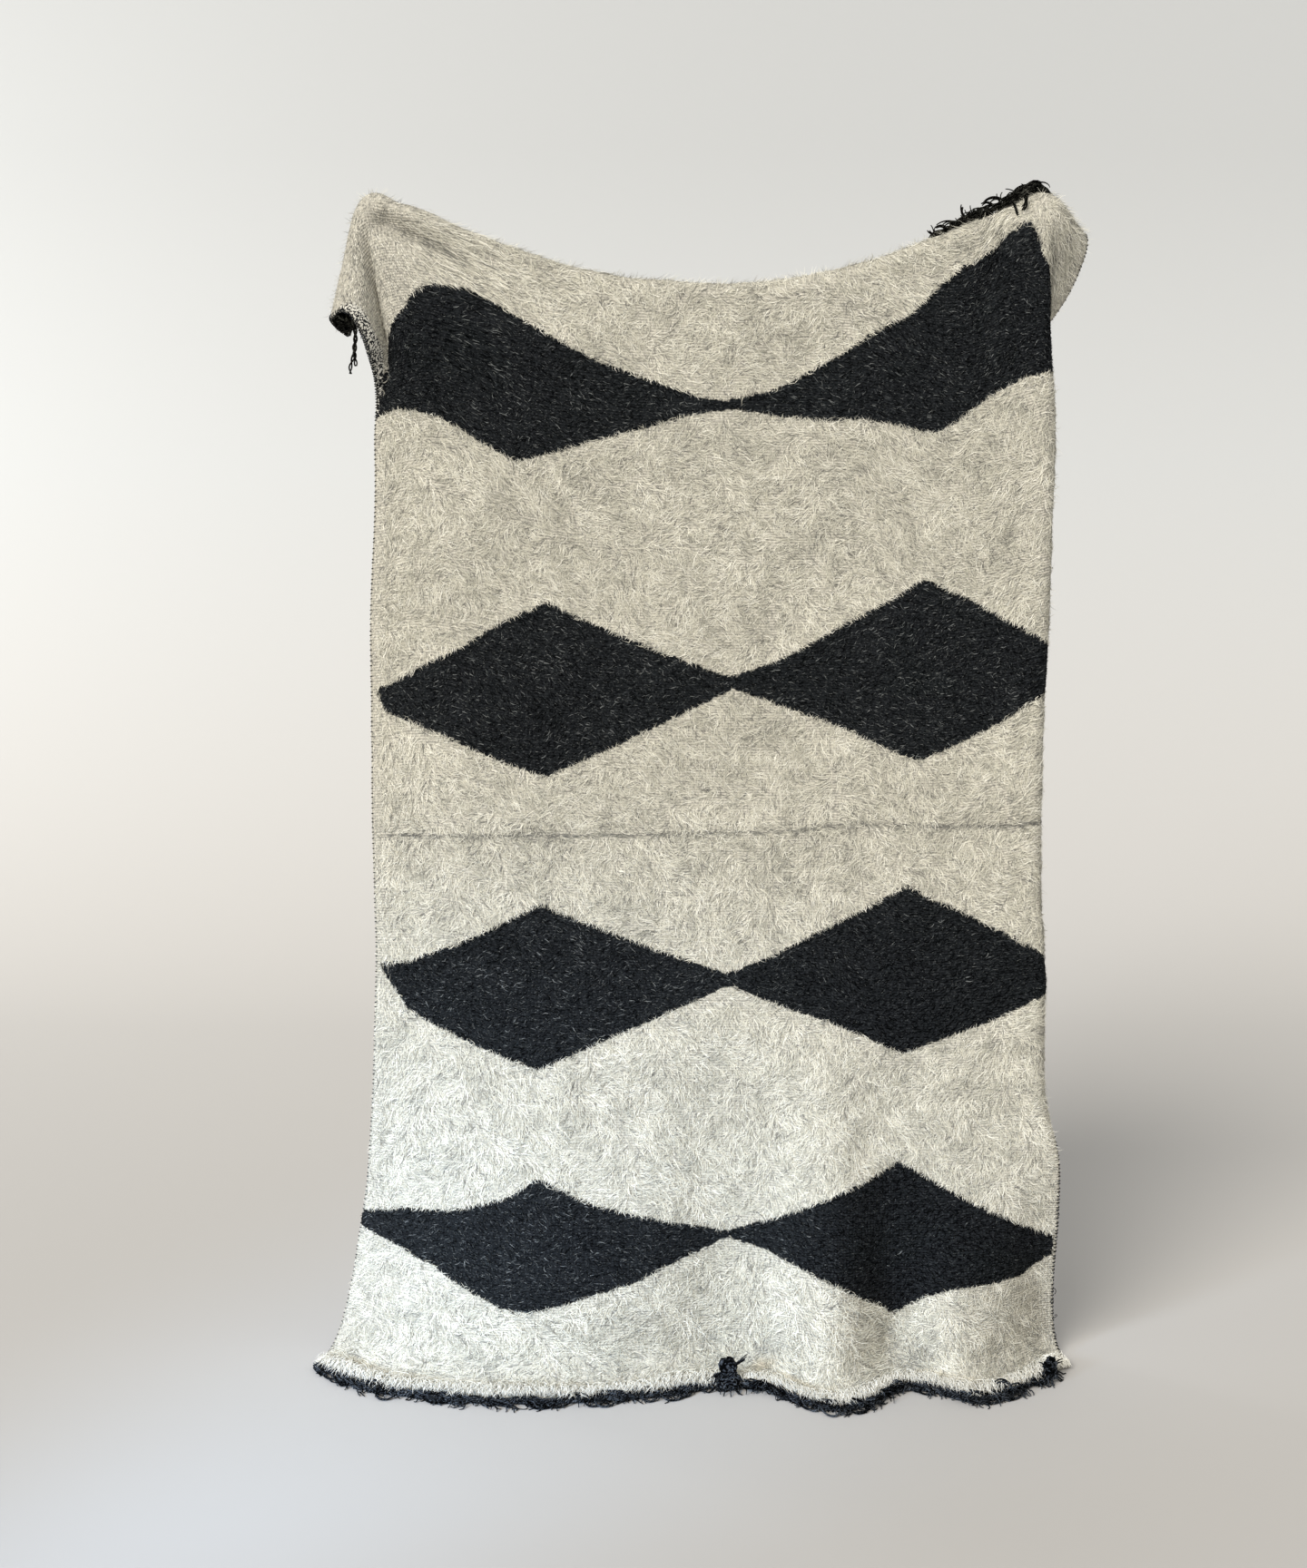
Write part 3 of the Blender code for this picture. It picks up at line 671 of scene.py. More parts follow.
def pile_material(name, stops, gloss, salt=None):
    made, bench, shader = new_material(name, 0.9, gloss)
    hair = bench.place(UNEVEN_HAIR, Shade=bench.reading("shade"), Wide=0.24, Fine=0.22)
    colour = bench.ramp(hair["Tone"], stops)
    if salt:
        specks = bench.place(FLECKS, Scale=520.0, Low=0.58, High=0.64, Stretch=(0.45, 1.0, 1.0))["Mask"]
        # Specks follow the hair's tone, so they fade where it is darker, also in the painted shade of the
        # charcoal's lower right.
        specks = bench.figure("MULTIPLY", specks, bench.figure("MULTIPLY", hair["Tone"], 1.7))
        colour = bench.blend(specks, colour, salt)
    bench.feed(shader.inputs["Base Color"], colour)
    bench.bumps(shader, hair["Height"], 0.0006, 0.6)
    return made


CREAM_PILE = pile_material("cream_pile", CREAM_STOPS, 0.12)
LIT_BROW_PILE = pile_material("brow_pile_painted_light", BROW_LIT_STOPS, 0.12)
CHARCOAL_PILE = pile_material("charcoal_pile", CHARCOAL_STOPS, 0.02, SALT)
print("materials:", ", ".join(made.name for made in (CREAM_PILE, LIT_BROW_PILE, CHARCOAL_PILE)))

# %% [markdown]
# ## The sheet
# The sheet is one grid of small squares, bent by the cloth function, with a face, a back and a
# narrow rim that joins them. Its squares are smaller near the top corners and the hem, where the
# folds are tight. A grid is the natural form for woven cloth, and it keeps the flat places of
# every point, which the pattern and the weave need. The first cell says how the sheet's surface
# varies, and makes the helpers that turn points and faces into a piece.

# %% Surface and helpers of the sheet
def bare_margin(along):
    """Width of the left edge that has no pile: the speckled selvedge by the held corner."""
    return np.interp(along, (1.66, 1.70, 1.76, 1.82, 1.88, 1.93, 1.97, 2.00),
                     (0.000, 0.008, 0.024, 0.040, 0.042, 0.030, 0.013, 0.000))


def corner_nap(across, along):
    """1 in the rolled left corner, where the pile is worn to a short nap."""
    return smooth((-0.40 - across) / 0.06) * smooth((along - 1.74) / 0.08)


def uneven(across, along):
    """Slight hollows and swells of the sheet, along its normal."""
    wide = (field(across, along, 0.12, 1) - 0.5) * 0.007
    return wide + (field(across, along, 0.045, 2) - 0.5) * 0.003


def make_mesh(name, points, *face_sets):
    """Mesh from arrays of points and of faces with three or four corners."""
    mesh = bpy.data.meshes.new(name)
    corners = np.concatenate([faces.ravel() for faces in face_sets]).astype(np.int32)
    sizes = np.concatenate([np.full(len(faces), faces.shape[1]) for faces in face_sets])
    mesh.vertices.add(len(points))
    mesh.vertices.foreach_set("co", np.asarray(points, np.float32).ravel())
    mesh.loops.add(len(corners))
    mesh.loops.foreach_set("vertex_index", corners)
    mesh.polygons.add(len(sizes))
    mesh.polygons.foreach_set("loop_start", (np.cumsum(sizes) - sizes).astype(np.int32))
    mesh.update(calc_edges=True)
    mesh.shade_smooth()
    return mesh


def give(mesh, name, values):
    """Stores one number for each point of a mesh."""
    values = np.asarray(values, np.float32).ravel()
    mesh.attributes.new(name, "FLOAT", "POINT").data.foreach_set("value", values)


def add_piece(name, mesh, wool):
    piece = bpy.data.objects.new(name, mesh)
    mesh.materials.append(wool)
    bpy.context.scene.collection.objects.link(piece)
    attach(piece, "root")
    print(name, sum(len(p.vertices) - 2 for p in mesh.polygons), "triangles")
    return piece


middle_swell = uneven(np.zeros(1), np.ones(1))
print("the sheet swells", middle_swell.round(4), "m at one place")

# %% [markdown]
# Now the sheet itself. The face and the back are the same grid, 5 mm apart. Each point also keeps
# three numbers for the material: how far inside a diamond it lies, whether it is on the back, and
# whether it is on the speckled left edge.

# %% Sheet mesh
FACE_SIDE = 0.002
BACK_SIDE = 0.003
SHEET_CLEARANCE = 0.0005
# The back of the sheet is charcoal as far as this from its top end
END_BAND = 0.05
DARK_DEPTH = 0.02
# Columns: from, to, squares
ACROSS_STEPS = ((-0.66, -0.38, 46), (-0.38, 0.10, 36), (0.10, 0.34, 22), (0.34, 0.66, 52))
ALONG_STEPS = ((0.00, 0.13, 22), (0.13, 0.60, 34), (0.60, 1.60, 56), (1.60, 1.92, 34), (1.92, 2.12, 38))


def grid_lines(steps):
    lines = [np.linspace(a, b, n, endpoint=False) for a, b, n in steps]
    return np.append(np.concatenate(lines), steps[-1][1])


across_lines = grid_lines(ACROSS_STEPS)
along_lines = grid_lines(ALONG_STEPS)
sheet_across, sheet_along = np.meshgrid(across_lines, along_lines, indexing="ij")
sheet_out = normal_at(sheet_across, sheet_along)
sheet_middle = cloth(sheet_across, sheet_along) + sheet_out * uneven(sheet_across, sheet_along)[..., None]
face_points = (sheet_middle + sheet_out * FACE_SIDE).reshape(-1, 3)
back_points = (sheet_middle - sheet_out * BACK_SIDE).reshape(-1, 3)
number = np.arange(sheet_across.size).reshape(sheet_across.shape)
face_quads = np.stack([number[:-1, :-1], number[1:, :-1], number[1:, 1:], number[:-1, 1:]], -1)
face_quads = face_quads.reshape(-1, 4)
back_quads = face_quads[:, ::-1] + number.size
rim = np.concatenate([number[:, 0], number[-1, 1:], number[-2::-1, -1], number[0, -2::-1]])
rim_quads = np.stack([rim[:-1], rim[:-1] + number.size, rim[1:] + number.size, rim[1:]], -1)
sheet_points = np.concatenate([face_points, back_points])
sheet_points[:, 2] = np.maximum(sheet_points[:, 2], FLOOR + SHEET_CLEARANCE)
sheet_mesh = make_mesh("woven_sheet", sheet_points, face_quads, back_quads, rim_quads)
both_across = np.tile(sheet_across.ravel(), 2)
both_along = np.tile(sheet_along.ravel(), 2)
is_back = np.repeat([0.0, 1.0], number.size)
tube_edge = both_across + HALF < bare_margin(both_along)
end_band = (is_back > 0) & (both_along > LENGTH - END_BAND)
give(sheet_mesh, "inside", np.where(end_band, DARK_DEPTH, inside_diamond(both_across, both_along)))
give(sheet_mesh, "reverse", is_back)
give(sheet_mesh, "selvedge", tube_edge)
flat_map = sheet_mesh.uv_layers.new(name="flat")
loop_points = np.concatenate([face_quads.ravel(), back_quads.ravel(), rim_quads.ravel()])
flat_places = np.stack([both_across, both_along], -1)[loop_points].astype(np.float32)
flat_map.uv.foreach_set("vector", flat_places.ravel())
sheet = add_piece("woven_sheet", sheet_mesh, GROUND_WOOL)
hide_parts("blanket_cloth")

# %% [markdown]
# ## The pile
# A brushed pile is drawn out of the woven wool with wire brushes. Its hairs cling together in
# curly locks about a millimetre wide and one to three centimetres long, which lie every way,
# gently swirled. Each lock here is a small tapering ribbon that walks over the flat cloth,
# turning as it goes, and lifts toward its tip. Ribbons are cheap, so there can be enough of them,
# and they take part in the silhouette, which a painted hair texture can't do.

# %% Where locks grow
LOCK_POINTS = 3
SCATTER = 0.6
SIDE_RIM = 0.003
HEM_RIM = 0.001


def roots(spacing, seed):
    """Evenly scattered places in the flat cloth."""
    random = np.random.default_rng(seed)
    across, along = np.meshgrid(np.arange(-HALF + spacing / 2, HALF, spacing),
                                np.arange(spacing / 2, LENGTH, spacing), indexing="ij")
    across = across + random.uniform(-SCATTER, SCATTER, across.shape) * spacing
    along = along + random.uniform(-SCATTER, SCATTER, along.shape) * spacing
    keep = (np.abs(across) < HALF - SIDE_RIM) & (along > HEM_RIM) & (along < LENGTH - HEM_RIM)
    return across[keep], along[keep]


def walk(across, along, heading, length, curl, points=LOCK_POINTS):
    """Places along each lock in the flat cloth."""
    middle = (np.arange(points - 1) + 0.5) / (points - 1) - 0.5
    turn = heading[:, None] + curl[:, None] * middle
    stride = length[:, None] / (points - 1)
    start = np.zeros((len(across), 1))
    step_across = np.hstack([start, np.cumsum(np.cos(turn) * stride, 1)])
    step_along = np.hstack([start, np.cumsum(np.sin(turn) * stride, 1)])
    return across[:, None] + step_across, along[:, None] + step_along


print("roots at one a centimetre:", len(roots(0.01, 1)[0]))

# %% [markdown]
# The ribbons follow those walks. All ribbons of one kind become one mesh at once, because adding
# them one by one would take Blender far too long.

# %% Ribbons of hair
LOCK_WIDTHS = (0.9, 1.0, 0.7)
ROOT_HEIGHT = 0.0018
ROOT_SHADE = 0.30
HAIR_CLEARANCE = 0.0004


def add_locks(name, wool, walked, width, lift, shade, roll, side=1.0, profile=None):
    """Ribbons over the walked places; side is 1 on the face and -1 on the back."""
    across, along = walked
    count, points_each = across.shape
    rows = points_each - 1
    t = np.linspace(0, 1, points_each)
    out = normal_at(across, along)
    height = ROOT_HEIGHT * side + side * lift[:, None] * (t ** 1.2 if profile is None else profile)
    if side < 0:
        height = height - BACK_SIDE
    line = cloth(across, along) + out * (height + uneven(across, along))[..., None]
    way = np.gradient(line, axis=1)
    beside = np.cross(way, out)
    beside /= np.linalg.norm(beside, axis=-1, keepdims=True)
    beside = beside * np.cos(roll)[:, None, None] + out * np.sin(roll)[:, None, None]
    half = 0.5 * width[:, None] * np.array(LOCK_WIDTHS[-rows:])
    pairs = line[:, :rows, None] + beside[:, :rows, None] * (half[..., None] * np.array((-1, 1)))[..., None]
    points = np.concatenate([pairs.reshape(count, 2 * rows, 3), line[:, rows:]], 1)
    points[..., 2] = np.maximum(points[..., 2], FLOOR + HAIR_CLEARANCE)
    first = (2 * rows + 1) * np.arange(count)[:, None]
    quads = np.concatenate([first + 2 * row + (0, 1, 3, 2) for row in range(rows - 1)])
    mesh = make_mesh(name, points.reshape(-1, 3), quads, first + 2 * rows - 2 + (0, 1, 2))
    deep = np.repeat(t, (2,) * rows + (1,)) - 1
    give(mesh, "shade", np.clip(shade[:, None] + ROOT_SHADE * deep, 0, 1))
    return add_piece(name, mesh, wool)


print("points of a lock:", LOCK_POINTS)

# %% [markdown]
# The cream hair swirls. Near the two held corners it is drawn straight by the pull, at the hem
# it hangs over the edge, and along a diamond it pokes a few millimetres over the charcoal,
# so the outlines look soft and slightly ragged. A lock that would reach further is shortened.

# %% How the cream hair lies
# Columns: grain, seed, turn
SWIRLS = ((0.060, 1, 3.6), (0.020, 2, 2.8))
PULLED_WITHIN = 0.28
HANGING_WITHIN = 0.035
POKING_WITHIN = 0.016
WEAVING_STEP = 0.011
CREASE_STEP = 0.011
CREASE_DEPTH = 0.0018


def combed(across, along, seed):
    """Heading of the cream locks in the flat cloth."""
    random = np.random.default_rng(seed)
    sideways_lay = pi * (field(across, along, 0.16, seed + 3) > 0.5)
    heading = np.where(above_line(across, along) > 0, sideways_lay, -pi / 2)
    for grain, number, turn in SWIRLS:
        heading = heading + (field(across, along, grain, seed + number) - 0.5) * turn
    heading = heading + random.normal(0, 0.55, across.shape)
    for held in (LEFT_HELD, RIGHT_HELD):
        out = across - held[0]
        down = along - (LENGTH - held[1])
        near = random.random(across.shape) < 0.9 * smooth(1.25 - np.hypot(out, down) / PULLED_WITHIN)
        heading = np.where(near, np.arctan2(down, out) + random.normal(0, 0.3, across.shape), heading)
    low = random.random(across.shape) < 0.8 * smooth(1 - along / HANGING_WITHIN)
    heading = np.where(low, -pi / 2 + random.normal(0, 0.5, across.shape), heading)
    depth = inside_diamond(across, along)
    slope = (inside_diamond(across + 0.002, along) - depth, inside_diamond(across, along + 0.002) - depth)
    poking = (depth > -POKING_WITHIN) & (depth < 0) & (random.random(across.shape) < 0.5)
    toward = np.arctan2(slope[1], slope[0]) + random.normal(0, 0.6, across.shape)
    return np.where(poking, toward, heading)


def stepped(across, along):
    """How far inside a diamond, with its slanting sides in small weaving steps."""
    row = np.round(along / WEAVING_STEP) * WEAVING_STEP
    ragged = (field(across, along, 0.02, 7) - 0.5) * 0.009
    return inside_diamond(across + ragged, 0.6 * along + 0.4 * row)


def brushed(across, along):
    """Share of the full pile: it is short along the side edges and by the left held corner."""
    edge = smooth((HALF - np.abs(across)) / 0.045)
    return 0.35 + 0.65 * np.minimum(edge, 1 - corner_nap(across, along))


# Painted shade: this mask makes the cream hair darker in narrow creases, for the shadow that falls there.
def painted_crease_shade(across, along):
    """1 where the cloth dips into a crease that is narrower than about a centimetre."""
    steps = ((CREASE_STEP, 0), (-CREASE_STEP, 0), (0, CREASE_STEP), (0, -CREASE_STEP))
    around = sum(cloth(across + a, along + b) for a, b in steps) / 4
    depth = ((around - cloth(across, along)) * normal_at(across, along)).sum(-1)
    return smooth(depth / CREASE_DEPTH)


one_place = (np.array([0.0]), np.array([0.9]))
print("share of the full pile at one place:", brushed(*one_place).round(2))

# %% [markdown]
# The cream pile is made in four parts, from the foot to the top, so no piece gets too heavy. Some
# of its locks are grey, and some stray ones stand up higher, most of them along the top edge.

# %% Cream pile
CREAM_LENGTHS = (0.013, 0.028)
CREAM_LIFTS = (0.0012, 0.0055)
CREAM_WIDTHS = (0.0007, 0.0017)
CREAM_SHADE = 0.71
GREY_SHARE = 0.11
STRAY_LIFTS = (0.006, 0.016)
STRAY_WIDTH = 0.0008
# Where the diamonds' tips meet, locks are short, or they would bridge the gap
TIPS_AT = 0.004
TIPS_WITHIN = 0.06
PARTING = 0.010


def cream_locks(spacing, seed):
    across, along = roots(spacing, seed)
    random = np.random.default_rng(seed + 50)
    depth = stepped(across, along)
    bare = across + HALF < bare_margin(along)
    keep = (depth < 0) & ~bare
    across, along, depth = across[keep], along[keep], depth[keep]
    heading = combed(across, along, seed)
    length = random.uniform(*CREAM_LENGTHS, across.shape) * brushed(across, along)
    by_tips = (np.abs(across - TIPS_AT) < TIPS_WITHIN) & (depth > -0.012)
    length = np.where(by_tips, 0.3 * length, length)
    curl = random.normal(0, 1.1, across.shape)
    tip = walk(across, along, heading, length, curl)
    reach = inside_diamond(tip[0][:, -1], tip[1][:, -1])
    allowed = random.uniform(0.001, 0.008, across.shape) * np.where(by_tips, 0.1, 1)
    share = np.clip((allowed - depth) / np.maximum(reach - depth, 1e-4), 0.2, 1)
    length = np.where(reach > allowed, length * share, length)
    return across, along, heading, length, curl, random


def add_cream_pile(name, spacing, seed, low, high):
    across, along, heading, length, curl, random = cream_locks(spacing, seed)
    part = (along >= low) & (along < high)
    across, along, heading, length, curl = (x[part] for x in (across, along, heading, length, curl))
    shape = across.shape
    shade = CREAM_SHADE + random.normal(0, 0.20, shape) + (field(across, along, 0.022, 11) - 0.5) * 0.34
    grey = random.random(shape) < GREY_SHARE + 0.30 * corner_nap(across, along)
    shade = np.where(grey, random.uniform(0.05, 0.40, shape), shade)
    parted = swell(above_line(across, along) / PARTING)
    # Painted shade: hair in a narrow crease is made darker, for the shadow in the crease.
    shade = shade - 0.16 * parted - 0.55 * painted_crease_shade(across, along)
    lift = random.uniform(*CREAM_LIFTS, shape) * brushed(across, along)
    width = random.uniform(*CREAM_WIDTHS, shape)
    crest = LENGTH - curve(TOP_EDGE, 1, across)
    stray = random.random(shape) < 0.05 + 0.45 * swell((along - crest) / 0.05)
    lift = np.where(stray, random.uniform(*STRAY_LIFTS, shape), lift)
    width = np.where(stray, STRAY_WIDTH, width)
    roll = random.normal(0, 0.25, shape)
    return add_locks(name, CREAM_PILE, walk(across, along, heading, length, curl),
                     width, lift, np.clip(shade, 0.05, 1), roll)


SPACING = 0.00380
# Columns: name, from along, to along
CREAM_PARTS = (("foot", 0.0, 0.62), ("middle", 0.62, 1.22), ("upper", 1.22, 1.80), ("top", 1.80, 2.13))
pile = [add_cream_pile("pale_pile_" + part, SPACING, 100, low, high) for part, low, high in CREAM_PARTS]

# %% [markdown]
# The grey line is a row of dark hairs that lie along it, half hidden by the pale ones.

# %% Hairs of the grey line
LINE_HAIRS = 620
LINE_LENGTHS = (0.010, 0.020)
LINE_WIDTHS = (0.0010, 0.0020)
LINE_LIFTS = (0.0025, 0.0048)
LINE_SHADES = (0.0, 0.34)


def add_line_hairs(name, count, seed):
    random = np.random.default_rng(seed)
    across = random.uniform(GREY_LINE[0, 0], GREY_LINE[-1, 0] - 0.012, count)
    along = np.interp(across, GREY_LINE[:, 0], GREY_LINE[:, 1]) + random.normal(0, 0.0016, count)
    walked = walk(across, along, random.normal(0.05, 0.22, count), random.uniform(*LINE_LENGTHS, count),
                  random.normal(0, 0.6, count))
    return add_locks(name, CREAM_PILE, walked, random.uniform(*LINE_WIDTHS, count),
                     random.uniform(*LINE_LIFTS, count), random.uniform(*LINE_SHADES, count),
                     random.normal(0, 0.3, count))


pile.append(add_line_hairs("grey_line_hairs", LINE_HAIRS, 160))

# %% [markdown]
# Along the hem the longest hair reaches over the plaited yarns like a white brow. These locks
# start just inside the hem, rise over the plait and lean down on it. Their paler shade and whiter,
# bluer colour are painted light, for the cool light on the foot. At the right end some cover the
# small ear of cloth beside the knot.

# %% Pale brow over the hem
BROW_LOCKS = 6600
BROW_PROFILE = np.array((0.0, 0.80, 1.0, 0.72))
BROW_LIFTS = (0.011, 0.023)
BROW_WIDTHS = (0.0009, 0.0020)
# Painted light: brow hair is paler than the cream pile, for the light on the hem
BROW_LIT_SHADE = 0.92
BROW_END = 0.657
EAR = 0.618
EAR_SHARE = 0.10
EAR_LENGTH = 0.010
EAR_LIFTS = (0.001, 0.013)


def add_brow(name, count, seed):
    random = np.random.default_rng(seed)
    in_ear = random.random(count) < EAR_SHARE
    across = np.where(in_ear, random.uniform(EAR, BROW_END, count), random.uniform(-0.655, 0.655, count))
    along = np.where(in_ear, random.uniform(0.0, 0.045, count), random.uniform(0.004, 0.050, count))
    heading = random.normal(-pi / 2, np.where(in_ear, 1.0, 0.38))
    length = along + random.uniform(0.000, 0.030, count) * (0.4 + field(across, along, 0.03, seed))
    length = np.where(in_ear, EAR_LENGTH, length)
    lift = random.uniform(*BROW_LIFTS, count) * (0.3 + 0.7 * smooth((HALF - np.abs(across)) / 0.05))
    lift = np.where(in_ear, random.uniform(*EAR_LIFTS, count), lift)
    shade = np.clip(BROW_LIT_SHADE + random.normal(0, 0.10, count), 0, 1)
    curl = random.normal(0, 0.9, count)
    walked_across, walked_along = walk(across, along, heading, length, curl, len(BROW_PROFILE))
    walked = (np.clip(walked_across, -BROW_END, BROW_END), walked_along)
    return add_locks(name, LIT_BROW_PILE, walked, random.uniform(*BROW_WIDTHS, count), lift,
                     shade, random.normal(0, 0.3, count), profile=BROW_PROFILE)


pile.append(add_brow("pale_brow", BROW_LOCKS, 150))

# %% [markdown]
# The charcoal hair is shorter and lies flatter, mostly from side to side, so faint weaving ribs
# show in it. A few paler hairs fleck it. In the lower right it is painted darker, with fewer pale
# flecks, for the shade that falls on the lower right.

# %% Charcoal pile
RIB = 0.0068
CHARCOAL_SPACING = 1.17 * SPACING
CHARCOAL_LENGTHS = (0.007, 0.014)
CHARCOAL_LIFTS = (0.0008, 0.0035)
CHARCOAL_WIDTHS = (0.0010, 0.0019)
CHARCOAL_SHADE = 0.43
PALE_SHARE = 0.10
PALE_WIDTH = 0.0006
PALE_SHADE = 1.05


def add_charcoal_pile(name, spacing, seed):
    across, along = roots(spacing, seed)
    random = np.random.default_rng(seed + 50)
    depth = stepped(across, along)
    keep = depth > -0.001
    across, along, depth = across[keep], along[keep], depth[keep]
    shape = across.shape
    heading = random.normal(0, 0.45, shape) + pi * (random.random(shape) < 0.5)
    heading = heading + (field(across, along, 0.05, seed) - 0.5) * 1.6
    # Painted shade: the charcoal hair is darkened towards the lower right, and has fewer pale flecks there.
    shaded_charcoal_corner = smooth(across / 0.3) * smooth((1.1 - along) / 0.5)
    pale = random.random(shape) < PALE_SHARE * (1 - 0.7 * shaded_charcoal_corner)
    length = random.uniform(*CHARCOAL_LENGTHS, shape) * np.where(pale, 0.55, 1.0)
    curl = random.normal(0, 0.7, shape)
    tip = walk(across, along, heading, length, curl)
    reach = inside_diamond(tip[0][:, -1], tip[1][:, -1])
    allowed = -random.uniform(0.0, 0.005, shape)
    share = np.clip((depth - allowed) / np.maximum(depth - reach, 1e-4), 0.15, 1)
    length = np.where(reach < allowed, length * share, length)
    shade = CHARCOAL_SHADE + random.normal(0, 0.34, shape) + (field(across, along, 0.05, 12) - 0.5) * 0.30
    shade = shade + 0.17 * np.sin(2 * pi * along / RIB) - 0.46 * shaded_charcoal_corner
    shade = np.where(pale, PALE_SHADE, shade)
    lift = random.uniform(*CHARCOAL_LIFTS, shape)
    width = np.where(pale, PALE_WIDTH, random.uniform(*CHARCOAL_WIDTHS, shape))
    return add_locks(name, CHARCOAL_PILE, walk(across, along, heading, length, curl),
                     width, lift, np.clip(shade, 0.0, 1.2), random.normal(0, 0.3, shape))


pile.append(add_charcoal_pile("charcoal_pile", CHARCOAL_SPACING, 200))

# %% [markdown]
# On the back a few short hairs stand off the weave. They are thin and sparse, so the ribs still
# show, except by the right held corner, where the back comes into sight and is as furry as the
# face.

# %% Stray hairs on the back
BACK_SPACING = 1.45 * SPACING
BACK_SHARE = 0.12
BACK_LENGTHS = (0.006, 0.015)
BACK_LIFTS = (0.0005, 0.003)
BACK_WIDTHS = (0.0006, 0.0012)


def add_back_hairs(name, spacing, seed):
    across, along = roots(spacing, seed)
    random = np.random.default_rng(seed + 50)
    furry = smooth((across - 0.50) / 0.04) * smooth((along - 1.72) / 0.06)
    keep = random.random(across.shape) < BACK_SHARE + (1 - BACK_SHARE) * furry
    across, along, furry = across[keep], along[keep], furry[keep]
    shape = across.shape
    dark = inside_diamond(across, along) > 0
    heading = random.uniform(0, 2 * pi, shape)
    length = random.uniform(*BACK_LENGTHS, shape) * (1 + 0.9 * furry)
    walked = walk(across, along, heading, length, random.normal(0, 1.2, shape))
    dark_shade = random.uniform(0.0, 0.35, shape)
    shade = np.where(dark & (furry < 0.5), dark_shade, random.uniform(0.35, 0.9, shape))
    shade = np.where(random.random(shape) < 0.3 * furry, 0.12, shade)
    return add_locks(name, CREAM_PILE, walked, random.uniform(*BACK_WIDTHS, shape),
                     random.uniform(*BACK_LIFTS, shape), shade, random.normal(0, 0.3, shape), -1.0)


pile.append(add_back_hairs("back_hairs", BACK_SPACING, 300))

# %% [markdown]
# ## Yarn
# The plaits, knots, stitches and loose threads are all yarn: round tubes that follow a path.
# A tube needs a frame that travels with the path and doesn't spin on its own, so each ring is
# turned only as far as the path itself turns.

# %% Tubes along paths
def unit(vectors):
    return vectors / np.maximum(np.linalg.norm(vectors, axis=-1, keepdims=True), 1e-9)


class Yarns:
    """Collects tubes and joins them to one mesh, with a map of the places round and along each."""

    def __init__(self, sides=6):
        self.sides = sides
        self.points = []
        self.quads = []
        self.maps = []
        self.total = 0

    def add(self, paths, radii, lowest=None):
        """paths is tubes x steps x 3; radii is one number, or tubes x steps."""
        paths = np.asarray(paths, float)
        count, steps = paths.shape[:2]
        radii = np.broadcast_to(radii, (count, steps))
        way = unit(np.gradient(paths, axis=1))
        beside = unit(np.cross(way[:, 0], np.array((0.21, 0.33, 0.92))))
        k = np.arange(self.sides)
        rings = []
        for i in range(steps):
            beside = unit(beside - way[:, i] * (beside * way[:, i]).sum(-1, keepdims=True))
            over = np.cross(way[:, i], beside)
            turn = 2 * pi * k / self.sides
            ring = beside[:, None] * np.cos(turn)[:, None] + over[:, None] * np.sin(turn)[:, None]
            rings.append(paths[:, i, None] + ring * radii[:, i, None, None])
        points = np.stack(rings, 1)
        if lowest is not None:
            points[..., 2] = np.maximum(points[..., 2], lowest)
        far = np.concatenate([np.zeros((count, 1)),
                              np.cumsum(np.linalg.norm(np.diff(paths, axis=1), axis=-1), 1)], 1)
        far = far + (self.total // self.sides + 7 * np.arange(count)[:, None]) % 61
        index = np.arange(count * steps * self.sides).reshape(count, steps, self.sides)
        after = np.roll(index, -1, 2)
        quads = np.stack([index[:, :-1], after[:, :-1], after[:, 1:], index[:, 1:]], -1)
        u = np.stack([k, k + 1, k + 1, k], -1) / self.sides
        u = np.broadcast_to(u, (count, steps - 1, self.sides, 4))
        v = np.stack([far[:, :-1], far[:, :-1], far[:, 1:], far[:, 1:]], -1)
        v = np.broadcast_to(v[:, :, None], u.shape)
        self.points.append(points.reshape(-1, 3))
        self.quads.append(quads.reshape(-1, 4) + self.total)
        self.maps.append(np.stack([u, v], -1).reshape(-1, 2))
        self.total += count * steps * self.sides

    def piece(self, name, wool, slot):
        mesh = make_mesh(name, np.concatenate(self.points), np.concatenate(self.quads))
        layer = mesh.uv_layers.new(name="yarn")
        layer.uv.foreach_set("vector", np.concatenate(self.maps).astype(np.float32).ravel())
        return add_piece(name, mesh, wool)


print("sides of a yarn:", Yarns().sides)

# %% [markdown]
# Yarns lie together in three ways: plies wound evenly round a path, strands that only roughly
# follow one, and a tangle that fills a rounded place. Each strand could be drawn by hand, but a
# seeded rule gives hundreds of them that differ as real ones do.

# %% Bundles of yarn
ASIDE = np.array((0.05, 0.99, 0.12))
BIT_STEPS = 14
BIT_TURN = 3.6
BIT_SIZE = 0.62


def beside_and_over(paths):
    """Two directions square to each path."""
    way = unit(np.gradient(paths, axis=1))
    beside = unit(np.cross(way, ASIDE))
    return beside, np.cross(way, beside)


def twisted(yarns, paths, spread, radius, plies, turns, phase=0.0, lowest=None):
    """Plies wound round each path; the radius may change along it."""
    beside, over = beside_and_over(paths)
    t = np.linspace(0, 1, paths.shape[1])
    for ply in range(plies):
        turn = (2 * pi * (ply / plies + turns * t) + phase)[None, :, None]
        yarns.add(paths + (beside * np.cos(turn) + over * np.sin(turn)) * spread, radius, lowest)


